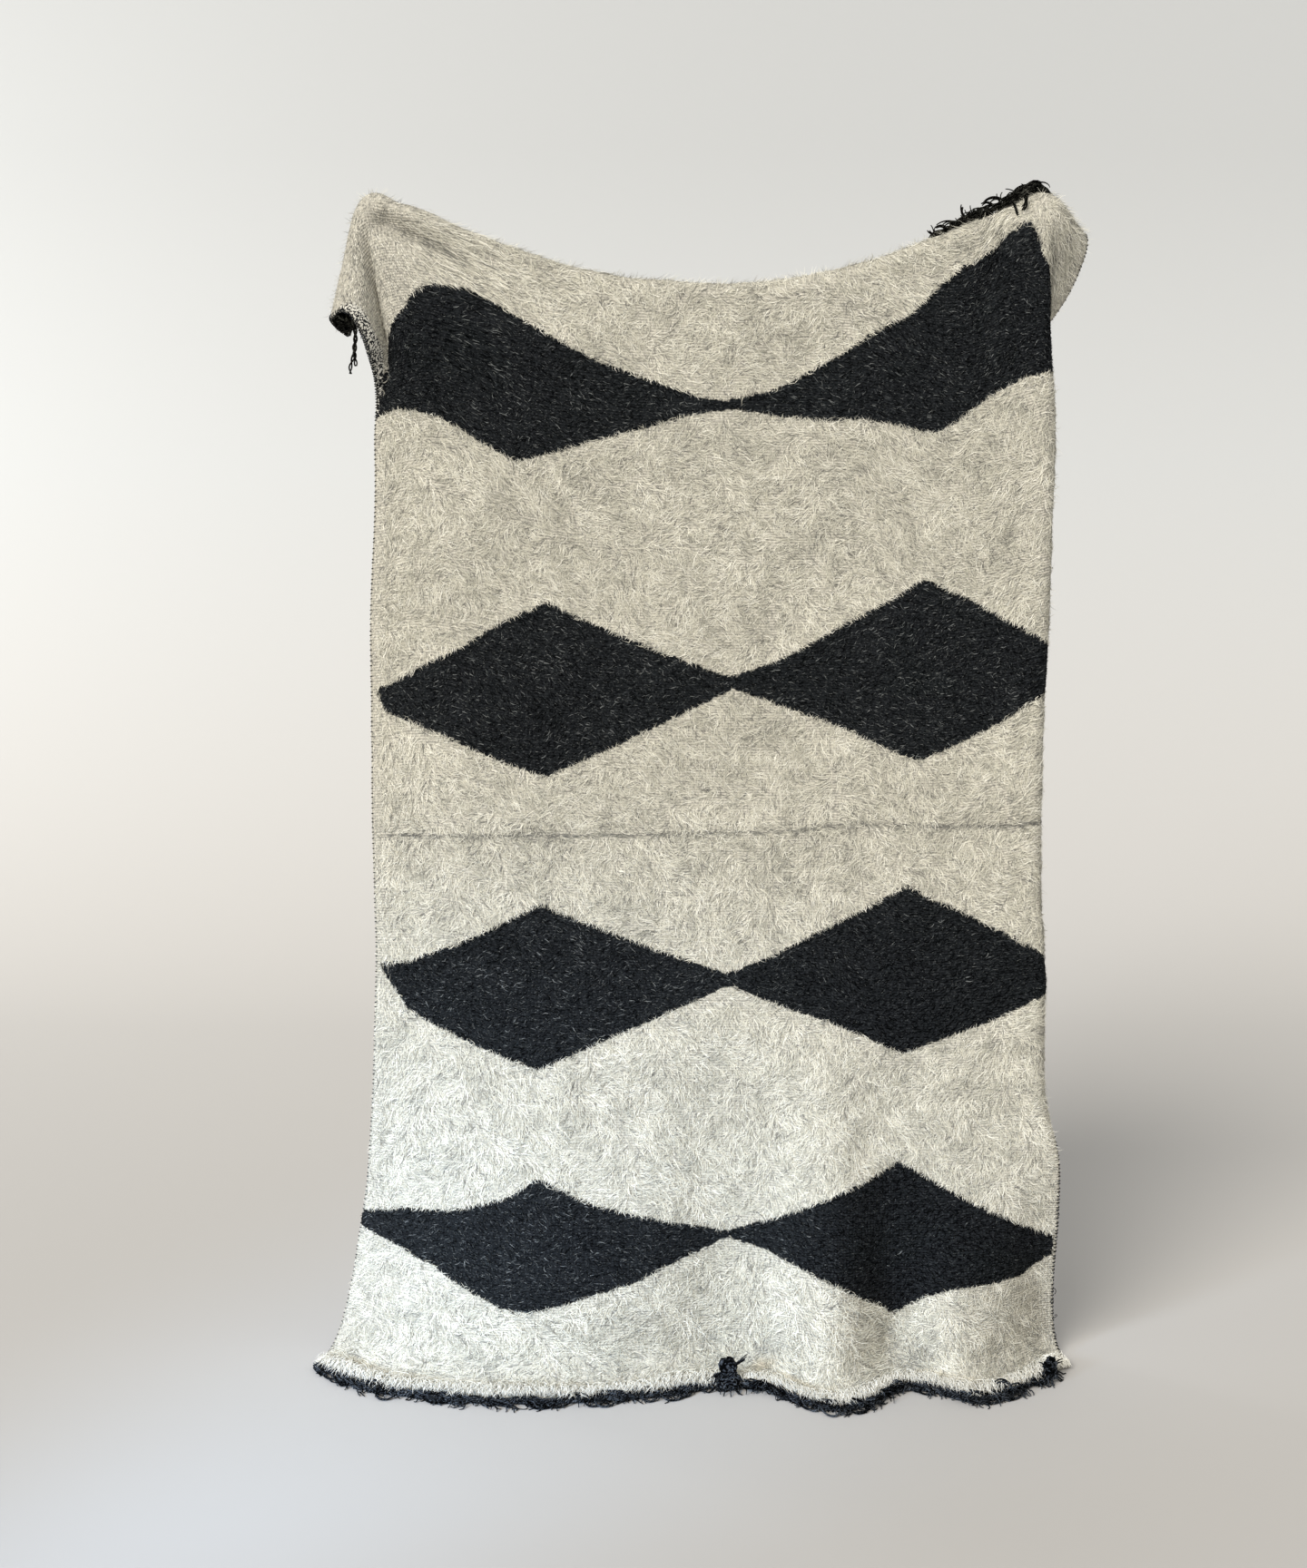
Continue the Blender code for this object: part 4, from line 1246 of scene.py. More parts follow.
def loosely(yarns, paths, spread, radius, strands, random, lowest=None, wind=(-0.4, 1.0)):
    """Strands that follow each path together but wander across it, each on its own."""
    count, steps = paths.shape[:2]
    beside, over = beside_and_over(paths)
    t = np.linspace(0, 1, steps)
    for _ in range(strands):
        turns = random.uniform(*wind, (count, 1))
        turn = random.uniform(0, 2 * pi, (count, 1)) + 2 * pi * turns * t
        far = random.uniform(0.3, 1.0, (count, 1)) * (1 + 0.25 * np.sin(7 * t + 5 * turn[:, :1]))
        offset = beside * (far * np.cos(turn))[..., None] + over * (far * np.sin(turn))[..., None]
        yarns.add(paths + offset * np.broadcast_to(spread, (count, steps))[..., None], radius, lowest)


def tangle(yarns, middle, reach, count, radius, random, lowest=None):
    """Curved bits of yarn that fill a rounded place every way."""
    start = unit(random.normal(size=(count, 3))) * random.uniform(0.35, 0.95, (count, 1))
    way = unit(random.normal(size=(count, 3)))
    beside = unit(np.cross(way, random.normal(size=(count, 3))))
    turn = np.linspace(0, BIT_TURN, BIT_STEPS)[None, :, None]
    bits = way[:, None] * np.sin(turn) + beside[:, None] * (1 - np.cos(turn))
    bits = start[:, None] + BIT_SIZE * bits
    bits = bits / np.maximum(np.linalg.norm(bits, axis=-1, keepdims=True), 1.0)
    yarns.add(middle + bits * reach, radius, lowest)


print("bundles:", ", ".join(way.__name__ for way in (twisted, loosely, tangle)))

# %% [markdown]
# The dark yarn has two pairs of colours. Where it is charcoal_yarn, on the hem, the knots, the
# stitches and the loose threads, its pale colour is brighter and bluish: a painted sheen, for the
# cool light on the hem. At the top corners it is plain and darker. The twist of the plies comes
# from the shared group.

# %% Yarn finishes
YARN_PITCH = 0.006
CREAM_PITCH = 0.007


def yarn_material(name, dark, pale, pitch):
    made, bench, shader = new_material(name, 0.85, 0.03)
    around, along = bench.flat_place("yarn")
    yarn = bench.place(TWIST, Round=around, Along=along, Pitch=pitch)
    bench.feed(shader.inputs["Base Color"], bench.ramp(yarn["Tone"], ((0.40, *dark), (1.00, *pale))))
    bench.bumps(shader, yarn["Height"], 0.0006)
    return made


# Painted sheen: the pale stop of charcoal_yarn is bluer and brighter than corner_yarn's, for the cool light
# on the hem.
CHARCOAL_YARN = yarn_material("charcoal_yarn", (0.0008, 0.0010, 0.0012), (0.085, 0.098, 0.116), YARN_PITCH)
CORNER_YARN = yarn_material("corner_yarn", (0.0010, 0.0010, 0.0007), (0.060, 0.061, 0.052), YARN_PITCH)
CREAM_YARN = yarn_material("cream_yarn", (0.30, 0.29, 0.25), (0.72, 0.69, 0.60), CREAM_PITCH)
print("materials:", ", ".join(made.name for made in (CHARCOAL_YARN, CORNER_YARN, CREAM_YARN)))

# %% [markdown]
# ## The edge's course
# The plaits lie just past the hems. This step follows a hem and gives, for every distance along
# it, the middle of the plait and three directions: along it, away from the cloth, and out of its
# facing side. It repeats how the plait solids were laid, so the yarns fall inside them.

# %% Following a hem
LOW_EDGE = "hem"
HIGH_EDGE = "top"
COURSE_STEPS = 700
# Half width, half height, lift and gap of the plaits at the hem
HEM_PLAIT = (0.0150, 0.0125, 0.0, 0.0006)


def course(edge, start, end, half_width, half_height, lift, gap):
    at = np.linspace(start, end, COURSE_STEPS)
    brink = 0.0 if edge == LOW_EDGE else LENGTH
    inner = 0.002 if edge == LOW_EDGE else LENGTH - 0.002
    rim = cloth(at, np.full(at.shape, brink))
    outward = unit(rim - cloth(at, np.full(at.shape, inner)))
    run = unit(np.gradient(rim, axis=0))
    facing = unit(np.cross(run, -outward if edge == LOW_EDGE else outward))
    level = np.clip((lift - THICKNESS / 2) / half_height, 0, 1)
    middle = rim + outward * (0.88 * half_width * np.sqrt(1 - level ** 2) + gap) + facing * lift
    if edge == LOW_EDGE:
        middle = middle + facing * (half_height - THICKNESS / 2)
    far = np.concatenate([[0.0], np.cumsum(np.linalg.norm(np.diff(rim, axis=0), axis=1))])
    return at, far, middle, outward, facing, run


def along_course(line, distance):
    """Middle, outward, facing and run of the plait at each distance."""
    far = line[1]
    found = [np.stack([np.interp(distance, far, f[:, i]) for i in range(3)], -1) for f in line[2:]]
    return found[0], unit(found[1]), unit(found[2]), unit(found[3])


hem_line = course(LOW_EDGE, -0.655, 0.655, *HEM_PLAIT)
print("the hem runs over", hem_line[1][-1].round(3), "m")

# %% [markdown]
# ## The plaits
# At each hem the warp ends are gathered in small bunches. Each bunch is carried slantwise over
# the next ones, tucked down and cut, which makes a thick rope of leaf-shaped hanks. So a plait is
# not one twisted rope here: hanks start by the cloth one after another, swell, cross to the
# outside and thin out, and their cut ends fray there.

# %% Hanks of a plait
HANK_STEPS = 11
STRANDS = 8
FEW_STRANDS = 4
STRAND_RADIUS = 0.0016


def hanks(yarns, line, half_width, half_height, spacing, length, crown, frays, clumps, seed, lowest):
    """Lays the hanks and gives the places, with their directions, where yarn ends leave them."""
    random = np.random.default_rng(seed)
    total = line[1][-1]
    starts = np.arange(-0.4 * length, total - 0.55 * length, spacing)
    starts = starts + random.uniform(-0.5, 0.5, starts.shape) * spacing
    t = np.linspace(0, 1, HANK_STEPS)
    reach = length * random.uniform(0.7, 1.35, starts.shape)
    distance = np.clip(starts[:, None] + reach[:, None] * t, 0.001, total - 0.001)
    middle, outward, facing, run = along_course(line, distance)
    leaf = np.sin(pi * t) ** 0.85
    wander = random.uniform(-0.1, 1.15, starts.shape)[:, None]
    back_again = random.random(starts.shape)[:, None] < 0.35
    crossed = np.where(back_again, np.sin(pi * t) ** 2, smooth(t))
    lateral = half_width * (-0.85 + (0.85 + wander) * crossed)
    high = random.random(starts.shape)[:, None] < 0.12
    height = random.uniform(0.0, crown, starts.shape)[:, None] + 0.5 * high
    height = half_height * (-0.62 + height * leaf)
    paths = middle + outward * lateral[..., None] + facing * height[..., None]
    bulk = half_height * random.uniform(0.40, 0.80, starts.shape)[:, None] * (0.10 + 0.90 * leaf)
    for clump_at, clump_reach in clumps:
        near = np.interp(distance, line[1], line[0]) - clump_at
        bulk = np.where(abs(near) < clump_reach, bulk * (0.40 + 1.4 * swell(near / clump_reach)), bulk)
    strands = STRANDS if lowest or clumps else FEW_STRANDS
    loosely(yarns, paths, bulk, STRAND_RADIUS * (0.55 + 0.45 * leaf), strands, random, lowest)
    row = np.repeat(np.arange(len(starts)), frays)
    step = random.integers(4, HANK_STEPS, len(row))
    return paths[row, step], outward[row, step], facing[row, step], run[row, step]


print("strands in a hank:", STRANDS)

# %% [markdown]
# Two more things belong to a plait: plies that have been pulled out of it into flat loops, and
# thin strands that run low inside it and hold the hanks together.

# %% Loops and core of a plait
LOOP_RADIUS = 0.0015
LOOP_EVERY = 0.055
LOOP_REACHES = (0.024, 0.052)
CORE_TURN = 0.062


def loops(yarns, line, half_width, half_height, seed, lowest):
    """Plies pulled out of the plait into flat loops."""
    random = np.random.default_rng(seed)
    total = line[1][-1]
    count = int(total / LOOP_EVERY)
    starts = np.sort(random.uniform(0.01, total - 0.06, count))
    reach = random.uniform(*LOOP_REACHES, count)
    t = np.linspace(0, 1, HANK_STEPS)
    distance = starts[:, None] + reach[:, None] * (1 - np.cos(pi * t)) / 2
    middle, outward, facing, _ = along_course(line, distance)
    bulge = half_width * random.uniform(0.4, 1.3, count)[:, None] * np.sin(pi * t)
    height = half_height * (-0.45 - 0.40 * np.sin(pi * t))
    paths = middle + outward * (0.3 * half_width + bulge)[..., None] + facing * height[..., None]
    for ply in range(3):
        shift = outward * (0.0024 * ply * np.sin(pi * t))[:, None] + facing * 0.0006 * ply
        yarns.add(paths + shift, LOOP_RADIUS, lowest)


def core(yarns, line, half_width, half_height, lowest):
    """Thin strands that hold the hanks together and lie low among them."""
    total = line[1][-1]
    distance = np.linspace(0.003, total - 0.003, int(total / 0.006))[None]
    middle, outward, facing, _ = along_course(line, distance)
    ends = smooth(np.minimum(distance, total - distance) / (2 * half_width))
    for strand in range(4):
        turn = 2 * pi * (strand / 4 + distance / CORE_TURN)
        place = middle + outward * (half_width * (0.46 * np.cos(turn) - 0.22) * ends)[..., None]
        place = place + facing * (half_height * (0.20 * np.sin(turn) - 0.55) * ends)[..., None]
        yarns.add(place, half_height * (0.10 + 0.06 * ends), lowest)


print("one loop every", LOOP_EVERY, "m of hem")

# %% [markdown]
# Cut ends fray out of the plait. Most are short, and in a few places long curly ones hang out in
# a tuft. On the floor they fall and lie level.

# %% Frayed ends
FRAY_STEPS = 7


def frayed(yarns, foot, outward, facing, run, length, sway, curl, droop, radius, lowest):
    """Curly ends: each leaves its foot sideways by its sway and sinks by its droop."""
    t = np.linspace(0, 1, FRAY_STEPS)
    turn = sway[:, None] + curl[:, None] * t
    stride = length[:, None, None] / (FRAY_STEPS - 1)
    way = outward[:, None] * np.cos(turn)[..., None] + run[:, None] * np.sin(turn)[..., None]
    way = way + facing[:, None] * (0.25 * (1 - t))[None, :, None]
    way = unit(way + np.array((0.0, 0.0, -1.0)) * (droop[:, None] * t ** 0.7)[..., None])
    paths = foot[:, None] + np.cumsum(way * stride, 1) - way[:, :1] * stride
    if lowest is not None:
        paths[..., 2] = np.maximum(paths[..., 2], lowest + radius)
    yarns.add(paths, radius * (1 - 0.55 * t), lowest)


print("steps in a frayed end:", FRAY_STEPS)

# %% [markdown]
# Four plaits are laid in this way: two along the hem, left and right of the middle knot, and two
# along the top hem, one that hangs behind and one over the right corner. Each is one piece.

# %% The four plaits
FRAY_SIZES = (0.009, 0.026)
FRAY_RADIUS = 0.0014
YARN_FLOOR = FLOOR + 0.0002
# Columns: name, node, edge, from across, to across, half width, half height, lift, gap
PLAITS = (
    ("hem_plait_left", "bottom_plait_left", LOW_EDGE, -0.656, -0.020, *HEM_PLAIT),
    ("hem_plait_right", "bottom_plait_right", LOW_EDGE, 0.020, 0.590, *HEM_PLAIT),
    ("back_plait", "top_plait_behind", HIGH_EDGE, -0.645, 0.300, 0.0100, 0.0085, 0.0, 0.0010),
    ("top_plait", "top_plait_right", HIGH_EDGE, 0.322, 0.535, 0.0120, 0.0125, 0.0115, 0.0006),
)
# Columns: spacing of the hanks, their length, crown, frays of each, finish
HANKS = {
    "hem_plait_left": (0.026, 0.070, 0.5, 9, CHARCOAL_YARN),
    "hem_plait_right": (0.022, 0.054, 1.0, 9, CHARCOAL_YARN),
    "back_plait": (0.030, 0.070, 1.1, 3, CORNER_YARN),
    "top_plait": (0.019, 0.044, 0.9, 3, CORNER_YARN),
}
# Columns: across, reach
CLUMPS = {"top_plait": ((0.360, 0.030), (0.425, 0.034), (0.498, 0.040))}
# Columns: across, length
TUFTS = {
    "hem_plait_left": ((-0.48, 0.030), (-0.30, 0.034), (-0.14, 0.026)),
    "hem_plait_right": ((0.21, 0.036), (0.27, 0.034), (0.44, 0.020)),
}
TUFT_REACH = 0.035
plaits = []
for name, node, edge, start, end, half_width, half_height, lift, gap in PLAITS:
    spacing, length, crown, frays, wool = HANKS[name]
    seed = 400 + len(plaits)
    random = np.random.default_rng(seed)
    line = course(edge, start, end, half_width, half_height, lift, gap)
    lowest = YARN_FLOOR if edge == LOW_EDGE else None
    yarns = Yarns()
    core(yarns, line, half_width, half_height, lowest)
    foot, outward, facing, run = hanks(yarns, line, half_width, half_height, spacing, length, crown,
                                       frays, CLUMPS.get(name, ()), seed, lowest)
    if edge == LOW_EDGE:
        loops(yarns, line, half_width, half_height, seed + 20, lowest)
    nearest = np.linalg.norm(foot[:, None] - line[2][None], axis=2).argmin(1)
    where = line[0][nearest]
    size = random.uniform(*FRAY_SIZES, len(foot))
    for across, long in TUFTS.get(name, ()):
        share = swell((where - across) / TUFT_REACH)
        size = np.maximum(size, long * share * random.uniform(0.5, 1.1, len(foot)))
    droop = np.full(len(foot), 1.2 if edge == LOW_EDGE else 0.7)
    foot = foot + run * random.normal(0, 0.009, len(foot))[:, None]
    foot = foot + outward * random.uniform(0.0, 0.7 * half_width, len(foot))[:, None]
    frayed(yarns, foot, outward, facing, run, size, random.normal(1.0, 0.7, len(foot)),
           random.normal(0, 1.7, len(foot)), droop, FRAY_RADIUS, lowest)
    piece = yarns.piece(name, wool, "charcoal_wool")
    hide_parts(node)
    plaits.append(piece)

# %% [markdown]
# ## The knots
# Where two plaits meet at the middle of the hem, and at its right end, the bunches are tied
# off in a knot. An overhand knot follows a three-lobed closed path, so the middle knot has three
# lumps, each a bundle of plies wound round such a path, in a tangle of short bits. The end knot
# is only a tangle. The leftover ends stick out of both.

# %% Lumps and ends of a knot
KNOT_STEPS = 46
TANGLE_RADIUS = 0.0019
END_RADIUS = 0.0017
END_CLEARANCE = 0.0016
UPWARD = np.array((0.0, 0.0, 1.0))


def lump(yarns, foot, run, outward, row):
    """One knotted lump: a bundle of plies along a three-lobed path."""
    height, size, flat, thick, turn = row
    t = np.linspace(0, 2 * pi, KNOT_STEPS)
    a = (np.sin(t + turn) + 2 * np.sin(2 * (t + turn))) / 3 * size
    b = (np.cos(t + turn) - 2 * np.cos(2 * (t + turn))) / 3 * size
    c = -np.sin(3 * (t + turn)) * flat
    path = foot + run * a[:, None] + outward * b[:, None] + UPWARD * (height + c)[:, None]
    twisted(yarns, path[None], 0.55 * thick, 0.62 * thick, 4, 5.0, turn, YARN_FLOOR)


def knot_ends(yarns, foot, outward, run, row, random):
    """Ends that leave a knot all round, rise and then droop."""
    height, radius, count, length, low_sway, high_sway, climb, droop = row
    sway = np.linspace(low_sway, high_sway, count) + random.normal(0, 0.12, count)
    way = outward * np.cos(sway)[:, None] + run * np.sin(sway)[:, None]
    start = foot + way * radius + UPWARD * height
    t = np.linspace(0, 1, FRAY_STEPS)
    heading = sway[:, None] + random.normal(0, 0.7, count)[:, None] * t
    way = outward * np.cos(heading)[..., None] + run * np.sin(heading)[..., None]
    way = unit(way + UPWARD * (climb - droop * t ** 0.8)[None, :, None])
    size = random.uniform(0.7, 1.15, count)[:, None, None] * length / (FRAY_STEPS - 1)
    paths = start[:, None] + np.cumsum(way * size, 1)
    paths[..., 2] = np.maximum(paths[..., 2], YARN_FLOOR + END_CLEARANCE)
    yarns.add(paths, END_RADIUS * (1 - 0.5 * t), YARN_FLOOR)


print("points along a lump:", KNOT_STEPS)

# %% [markdown]
# Each knot is put together from the rows of three tables: its lumps, its tangles and its ends.
# It stands on the floor just past the hem.

# %% The two knots
# Columns: name, node, across, distance from the hem
KNOTS = (
    ("centre_knot_yarn", "centre_knot", 0.0, 0.0152),
    ("end_knot_yarn", "end_knot", 0.6085, 0.0170),
)
# Columns: knot, height, size, half height, bundle radius, turn
LUMPS = (
    ("centre_knot_yarn", 0.0120, 0.0150, 0.0040, 0.0066, 0.3),
    ("centre_knot_yarn", 0.0440, 0.0098, 0.0052, 0.0074, 1.4),
    ("centre_knot_yarn", 0.0410, 0.0090, 0.0050, 0.0070, 2.6),
)
# Columns: knot, along the hem, height, reach along the hem, outward and up, bits of yarn
TANGLES = (
    ("centre_knot_yarn", 0.000, 0.0150, 0.027, 0.013, 0.0135, 34),
    ("centre_knot_yarn", 0.002, 0.0290, 0.013, 0.010, 0.0080, 14),
    ("end_knot_yarn", -0.003, 0.0140, 0.020, 0.014, 0.0135, 34),
    ("end_knot_yarn", 0.004, 0.0270, 0.013, 0.010, 0.0100, 18),
)
# Columns: knot, height, start radius, ends, length, from sway, to sway, rise, droop
KNOT_ENDS = (
    ("centre_knot_yarn", 0.041, 0.008, 4, 0.026, 0.9, 1.5, 0.75, 0.1),
    ("centre_knot_yarn", 0.029, 0.006, 4, 0.028, -1.9, -1.1, 0.10, 0.9),
    ("centre_knot_yarn", 0.024, 0.008, 3, 0.020, 1.0, 2.0, 0.10, 1.1),
    ("centre_knot_yarn", 0.012, 0.012, 9, 0.024, -1.3, 1.3, -0.10, 0.9),
    ("end_knot_yarn", 0.010, 0.014, 9, 0.025, -1.0, 1.2, 0.00, 0.9),
    ("end_knot_yarn", 0.024, 0.010, 8, 0.016, -1.9, 1.9, 0.70, 0.5),
)

for name, node, across, distance in KNOTS:
    random = np.random.default_rng(500 + len(plaits))
    at = int(np.argmin(abs(hem_line[0] - across)))
    outward, facing, run = (hem_line[n][at] for n in (3, 4, 5))
    foot = cloth(np.array([across]), np.array([0.0]))[0] + outward * distance
    foot[2] = FLOOR
    yarns = Yarns()
    for knot, *row in LUMPS:
        if knot == name:
            lump(yarns, foot, run, outward, row)
    for knot, shift, height, along_hem, out_reach, up_reach, count in TANGLES:
        if knot == name:
            middle = foot + run * shift + UPWARD * height
            reach = abs(run) * along_hem + abs(outward) * out_reach + UPWARD * up_reach
            tangle(yarns, middle, reach, count, TANGLE_RADIUS, random, YARN_FLOOR)
    for knot, *row in KNOT_ENDS:
        if knot == name:
            knot_ends(yarns, foot, outward, run, row, random)
    piece = yarns.piece(name, CHARCOAL_YARN, "charcoal_wool")
    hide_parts(node)
    plaits.append(piece)

# %% [markdown]
# ## Loose yarn at the top corners
# At the right corner the gathered ends of the top hem lie on the edge in three bunches, with
# single curls at their ends and a few that hang down in front. They follow the highest line of
# the cloth, so this step finds that line first.

# %% Highest line of the right corner
corner_places = (np.linspace(0.24, 0.64, 200), np.linspace(1.84, 2.12, 140))
corner_cloth = cloth(*np.meshgrid(*corner_places, indexing="ij"))
crest_line = corner_cloth[np.arange(len(corner_cloth)), corner_cloth[..., 2].argmax(1)]
crest_line = crest_line[np.argsort(crest_line[:, 0])]


def crest_at(x):
    """Highest point of the cloth at each sideways place."""
    return np.stack([np.interp(x, crest_line[:, 0], crest_line[:, n]) for n in range(3)], -1)


def before_cloth(x, z):
    """How far forward the cloth reaches at a place seen from the front."""
    near = np.hypot(corner_cloth[..., 0] - x, corner_cloth[..., 2] - z) < 0.008
    return corner_cloth[near][:, 1].min() if near.any() else 0.0


print("the line is highest at", crest_line[crest_line[:, 2].argmax()].round(3))

# %% [markdown]
# A bunch is thickest in its middle, and its strands wind round it. Short wisps stand off it. The
# single curls are listed one by one, because each of them can be told from the others.

# %% Bunches on the right corner
BUNCH_STEPS = 30
BUNCH_RADIUS = 0.0012
CURL_STEPS = 14
CURL_RADIUS = 0.0016
WISP_RADIUS = 0.0013
# Columns: from x, to x, rise at the start, middle and end, spread, strands, turns round the bunch
BUNCHES = (
    (0.336, 0.394, 0.003, 0.007, 0.009, 0.0066, 11, 2.4),
    (0.370, 0.456, 0.008, 0.014, 0.010, 0.0102, 22, 2.6),
    (0.440, 0.536, 0.009, 0.014, 0.003, 0.0100, 34, 1.8),
)
# Columns: x, rise, sideways, up, length, bend, in front of the cloth
CURLS = (
    (0.452, 0.017, -0.80, 0.60, 0.036, 1.9, 0), (0.438, 0.016, -0.50, 0.85, 0.022, 1.7, 0),
    (0.420, 0.018, -0.70, 0.60, 0.016, 1.5, 0), (0.376, 0.014, -0.90, 0.35, 0.030, 1.2, 0),
    (0.392, 0.016, -0.85, 0.50, 0.020, -1.6, 0), (0.352, 0.007, -0.95, 0.10, 0.026, 1.5, 0),
    (0.345, 0.005, -0.80, -0.30, 0.022, -1.2, 0), (0.360, 0.010, -0.70, 0.70, 0.018, 1.8, 0),
    (0.470, 0.008, 0.30, -1.00, 0.046, 0.1, 1), (0.492, 0.009, 0.10, -1.00, 0.044, -1.1, 1),
    (0.489, 0.004, 0.55, -0.80, 0.022, -1.4, 1),
)


def curled(yarns, start, way, length, bend, count, spread, radius):
    """A few yarns that leave one place together and curl in the plane seen from the front."""
    t = np.linspace(0, 1, CURL_STEPS)
    bends = bend * random.uniform(0.75, 1.25, count)[:, None] * t
    level = way[0] * np.cos(bends) - way[1] * np.sin(bends)
    climb = way[0] * np.sin(bends) + way[1] * np.cos(bends)
    steps = np.stack([level, 0 * level, climb], -1) * random.uniform(0.8, 1.15, count)[:, None, None]
    paths = start + np.cumsum(steps * length / CURL_STEPS, 1) + random.normal(0, spread, (count, 1, 3))
    yarns.add(paths, radius * (1 - 0.4 * t))


yarns = Yarns()
random = np.random.default_rng(600)
t = np.linspace(0, 1, BUNCH_STEPS)
leaf = np.sin(pi * np.clip(t, 0.03, 0.97)) ** 0.6
for x_from, x_to, rise_0, rise_1, rise_2, spread, strands, turns in BUNCHES:
    lifted = rise_0 * (1 - t) * (1 - 2 * t) + rise_1 * 4 * t * (1 - t) + rise_2 * t * (2 * t - 1)
    bunch = crest_at(x_from + (x_to - x_from) * t) + UPWARD * lifted[:, None] - np.array((0.0, 0.004, 0.0))
    loosely(yarns, bunch[None], spread * leaf, BUNCH_RADIUS * (0.6 + 0.4 * leaf), strands, random,
            wind=(-turns, turns))
    for x in random.uniform(x_from, x_to, strands):
        start = crest_at(x) + UPWARD * rise_1 * random.uniform(0.2, 1.1) - np.array((0.0, 0.006, 0.0))
        side, climb = unit(np.array((random.normal(-0.7, 0.4), random.normal(0.3, 0.5))))
        length = random.uniform(0.010, 0.022)
        bend = random.normal(0, 1.6)
        curled(yarns, start, (side, climb), length, bend, 1, 0.001, WISP_RADIUS)
for x, lifted, side, climb, length, bend, in_front in CURLS:
    start = crest_at(x) + UPWARD * lifted
    start[1] = before_cloth(x, start[2] - 0.02) - 0.006 if in_front else start[1] - 0.006
    curled(yarns, start, (side, climb), length, bend, 2 if in_front else 3, 0.0010, CURL_RADIUS)
plaits.append(yarns.piece("corner_bunches", CORNER_YARN, "charcoal_wool"))

# %% [markdown]
# At the left corner the cloth is rolled to a tube. The yarns of the top hem are rolled in with
# it: they fill the tube's mouth like a dark nest, and two of them hang out as a tail.

# %% Nest and tail in the rolled corner
NEST = np.array((-0.645, -0.008, -0.062))
NEST_REACH = np.array((0.019, 0.034, 0.017))
NEST_BITS = 80
NEST_RADIUS = 0.0015
TAIL_FOOT = np.array((-0.627, -0.040, -0.060))
TAIL_LENGTH = 0.092
TAIL_RADIUS = 0.0021

yarns = Yarns()
random = np.random.default_rng(610)
tangle(yarns, NEST, NEST_REACH, NEST_BITS, NEST_RADIUS, random)
t = np.linspace(0, 1, 26)
tail = TAIL_FOOT - UPWARD * (TAIL_LENGTH * t)[:, None]
tail[:, 0] += 0.003 * np.sin(5.0 * t) + 0.002 * t
split = smooth((t - 0.62) / 0.3)
for sign, length in ((-1, 1.0), (1, 0.86)):
    strand = TAIL_FOOT + (tail - TAIL_FOOT) * np.array((1.0, 1.0, length))
    strand[:, 0] += sign * 0.0045 * split
    twisted(yarns, strand[None], 0.0022, TAIL_RADIUS * (1 - 0.35 * t), 2, 3.0, sign)
plaits.append(yarns.piece("rolled_corner_yarn", CORNER_YARN, "charcoal_wool"))

# %% [markdown]
# ## Edge stitches
# Both side edges are bound with dark yarn, which shows as a row of small dots. Each stitch goes
# from the face round the edge to the back. Low on the right side the yarn is thicker and some of
# it has come loose.

# %% Edge stitches
STITCH_STEPS = 7


def stitches(yarns, side, spacing, radius, reach, low, high, seed):
    random = np.random.default_rng(seed)
    along = np.arange(low, high, spacing)
    along = along + random.uniform(-0.2, 0.2, along.shape) * spacing
    across = np.full(along.shape, side * HALF)
    edge = cloth(across, along)
    out = normal_at(across, along)
    away = unit(edge - cloth(across - side * 0.004, along))
    middle = edge - away * reach * 0.6 + out * (uneven(across, along) - 0.0005)[:, None]
    turn = np.linspace(-0.62 * pi, 0.62 * pi, STITCH_STEPS)
    height = 0.0036 + random.uniform(0, 0.0008, along.shape)
    paths = middle[:, None] + away[:, None] * (reach * np.cos(turn))[:, None]
    paths = paths + out[:, None] * (height[:, None] * np.sin(turn))[..., None]
    slant = unit(cloth(across, along + 0.004) - edge)
    paths = paths + slant[:, None] * (0.0016 * turn / pi)[:, None]
    paths[..., 2] = np.maximum(paths[..., 2], FLOOR + 0.001)
    yarns.add(paths, radius)


# Columns: side, spacing, radius, reach, from along, to along, seed
STITCHES = (
    (-1, 0.0085, 0.00075, 0.0034, 0.01, 1.70, 700),
    (-1, 0.0060, 0.00085, 0.0040, 1.70, 2.10, 701),
    (1, 0.0075, 0.0010, 0.0040, 0.01, 0.62, 702),
    (1, 0.0085, 0.0008, 0.0036, 0.62, 2.10, 703),
)
yarns = Yarns(4)
for row in STITCHES:
    stitches(yarns, *row)
plaits.append(yarns.piece("edge_stitches", CHARCOAL_YARN, "charcoal_wool"))

# %% [markdown]
# Threads have come loose low on the right edge, and one near the top of the left edge. Paler
# ones stand off the left edge where it rolls in.

# %% Loose threads
THREAD_STEPS = 12
THREAD_RADIUS = 0.0006
PALE_THREAD_RADIUS = 0.0009
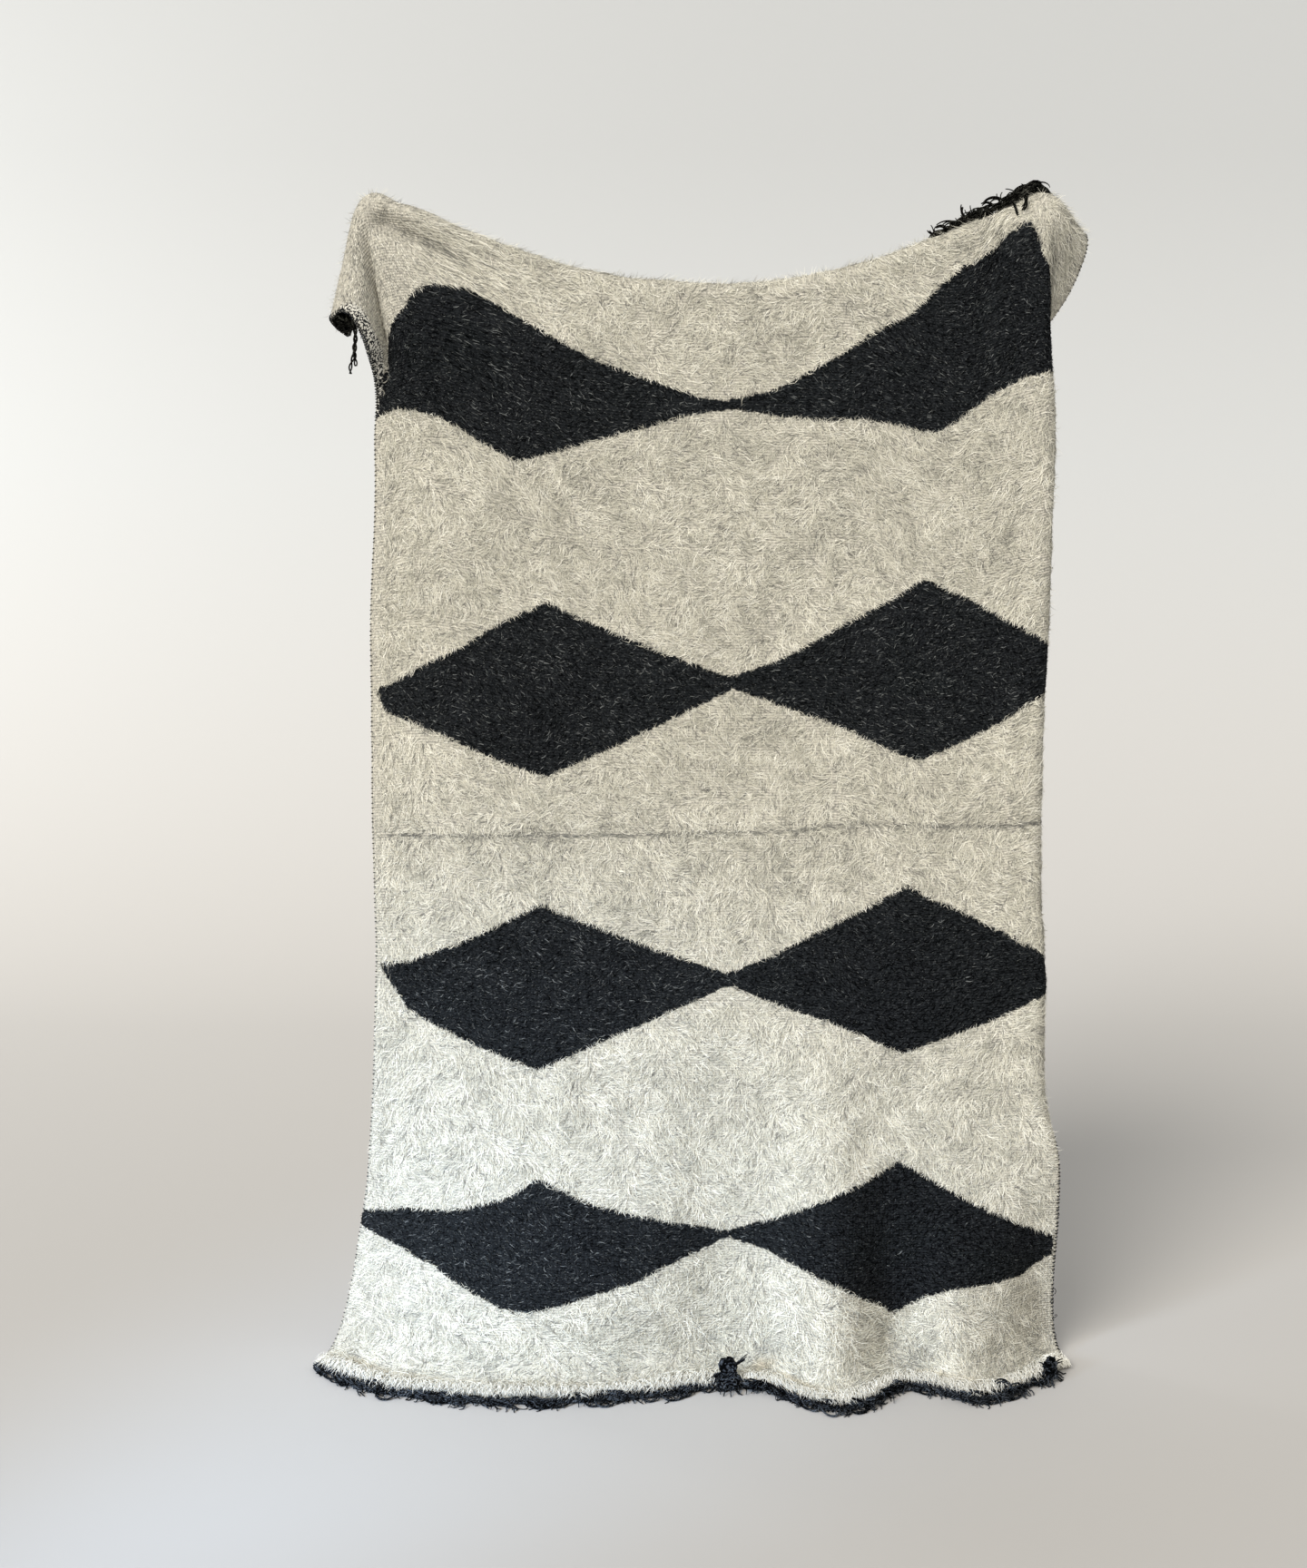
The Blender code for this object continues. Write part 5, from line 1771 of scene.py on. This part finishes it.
# Columns: across, along, length, heading, bend, droop
THREADS = (
    (0.655, 0.16, 0.018, 0.3, 3.6, 0.4), (0.656, 0.19, 0.016, 0.8, -3.8, 0.3),
    (0.655, 0.13, 0.020, -0.2, 3.0, 0.6), (0.656, 0.34, 0.012, 0.2, 3.0, 0.6),
    (0.656, 0.10, 0.016, 0.0, -3.2, 0.6), (-0.653, 1.985, 0.020, 2.6, 3.6, 0.2),
)
PALE_THREADS = (
    (-0.598, 1.835, 0.026, 0.7, -2.2, 0.2), (-0.600, 1.822, 0.024, -0.5, 1.6, 0.2),
    (-0.630, 1.792, 0.018, 0.3, -2.8, 0.3), (-0.636, 1.770, 0.020, 0.9, -3.2, 0.2),
    (-0.640, 1.752, 0.018, -0.4, 2.4, 0.2), (-0.644, 1.735, 0.014, 0.2, -2.6, 0.4),
)


def loose_threads(name, rows, wool, slot, radius):
    yarns = Yarns(5)
    for across, along, length, heading, bend, droop in rows:
        start = cloth(np.array([across]), np.array([along]))
        out = normal_at(np.array([across]), np.array([along]))
        run = unit(start - cloth(np.array([across - 0.004]), np.array([along])))
        t = np.linspace(0, 1, THREAD_STEPS)
        turn = heading + bend * t
        way = run * np.cos(turn)[:, None] + UPWARD * np.sin(turn)[:, None] + out * 0.35
        way = unit(way - UPWARD * (droop * t)[:, None])
        path = start + out * 0.003 + np.cumsum(way * length / (THREAD_STEPS - 1), 0)
        yarns.add(path[None], radius)
    return yarns.piece(name, wool, slot)


dark_threads = loose_threads("loose_threads", THREADS, CHARCOAL_YARN, "charcoal_wool", THREAD_RADIUS)
pale_threads = loose_threads("pale_threads", PALE_THREADS, CREAM_YARN, "cream_wool", PALE_THREAD_RADIUS)
plaits += [dark_threads, pale_threads]

# %% [markdown]
# ## Floor, backdrop and light
# A pale floor runs back and bends up into a backdrop, so no horizon shows.

# %% Floor and backdrop
FLOOR_FRONT = -8.0
FLOOR_SIDE = 9.0
BEND_START = 2.8
BEND_RADIUS = 3.2
BACKDROP_TOP = 7.0
bend_angles = np.linspace(0.06, pi / 2, 24)
floor_profile = [(FLOOR_FRONT, 0.0), (BEND_START, 0.0)]
floor_profile += [(BEND_START + BEND_RADIUS * np.sin(a), BEND_RADIUS - BEND_RADIUS * np.cos(a))
                  for a in bend_angles]
floor_profile += [(BEND_START + BEND_RADIUS, BACKDROP_TOP)]
floor_points = [(x, y, FLOOR + z) for y, z in floor_profile for x in (-FLOOR_SIDE, FLOOR_SIDE)]
floor_faces = [(2 * i, 2 * i + 1, 2 * i + 3, 2 * i + 2) for i in range(len(floor_profile) - 1)]
floor_mesh = bpy.data.meshes.new("studio_floor")
floor_mesh.from_pydata(floor_points, [], floor_faces)
floor_mesh.shade_smooth()
floor = bpy.data.objects.new("studio_floor", floor_mesh)
bpy.context.scene.collection.objects.link(floor)
floor_paint, bench, floor_shader = new_material("studio_floor", 0.7)
floor_place = bench.nodes.new("ShaderNodeSeparateXYZ")
bench.feed(floor_place.inputs["Vector"], bench.nodes.new("ShaderNodeTexCoord").outputs["Object"])
floor_share = bench.figure("MULTIPLY_ADD", floor_place.outputs["Z"], 0.55, -0.55 * FLOOR)
floor_colour = bench.ramp(floor_share, ((0.0, 0.47, 0.460, 0.445), (1.0, 0.47, 0.482, 0.486)))
bench.feed(floor_shader.inputs["Base Color"], floor_colour)
floor_mesh.materials.append(floor_paint)
print("floor and backdrop:", len(floor_faces), "strips")

# %% [markdown]
# The main light comes softly from the upper left, as from a window. A cool lamp lights the foot
# from the lower left, one more lights the backdrop, and the world fills the shadows.

# %% Light
WORLD_COLOUR = (1.0, 0.99, 0.97, 1)
WORLD_STRENGTH = 0.60
# Columns: kind, name, place, aim, size, power, colour
LIGHTS = (
    ("SUN", "skylight", (-1.7, -3.0, 2.4), (0.0, 0.0, 0.0), radians(28), 3.3, (1.0, 0.955, 0.89)),
    ("SPOT", "low_window", (-2.0, -2.3, -0.9), (-0.45, -0.15, -1.78), radians(36), 380.0,
     (0.48, 0.69, 1.0)),
    ("AREA", "backdrop", (-4.6, 3.4, 1.2), (0.5, 6.0, -0.2), 2.4, 60.0, (1.0, 1.0, 0.98)),
)
world = bpy.data.worlds.new("studio")
world.use_nodes = True
world.node_tree.nodes["Background"].inputs["Color"].default_value = WORLD_COLOUR
world.node_tree.nodes["Background"].inputs["Strength"].default_value = WORLD_STRENGTH
bpy.context.scene.world = world


def add_light(kind, name, place, aim, size, power, colour):
    data = bpy.data.lights.new(name, kind)
    data.energy = power
    data.color = colour
    if kind == "AREA":
        data.shape = "DISK"
        data.size = size
    elif kind == "SPOT":
        data.spot_size = size
        data.spot_blend = 1.0
        data.shadow_soft_size = 0.35
    else:
        data.angle = size
    light = bpy.data.objects.new(name, data)
    light.location = place
    light.rotation_euler = (Vector(aim) - Vector(place)).to_track_quat("-Z", "Y").to_euler()
    bpy.context.scene.collection.objects.link(light)


for row in LIGHTS:
    add_light(*row)
bpy.context.scene.view_settings.view_transform = "Standard"
print("lights:", ", ".join(row[1] for row in LIGHTS))

# %% [markdown]
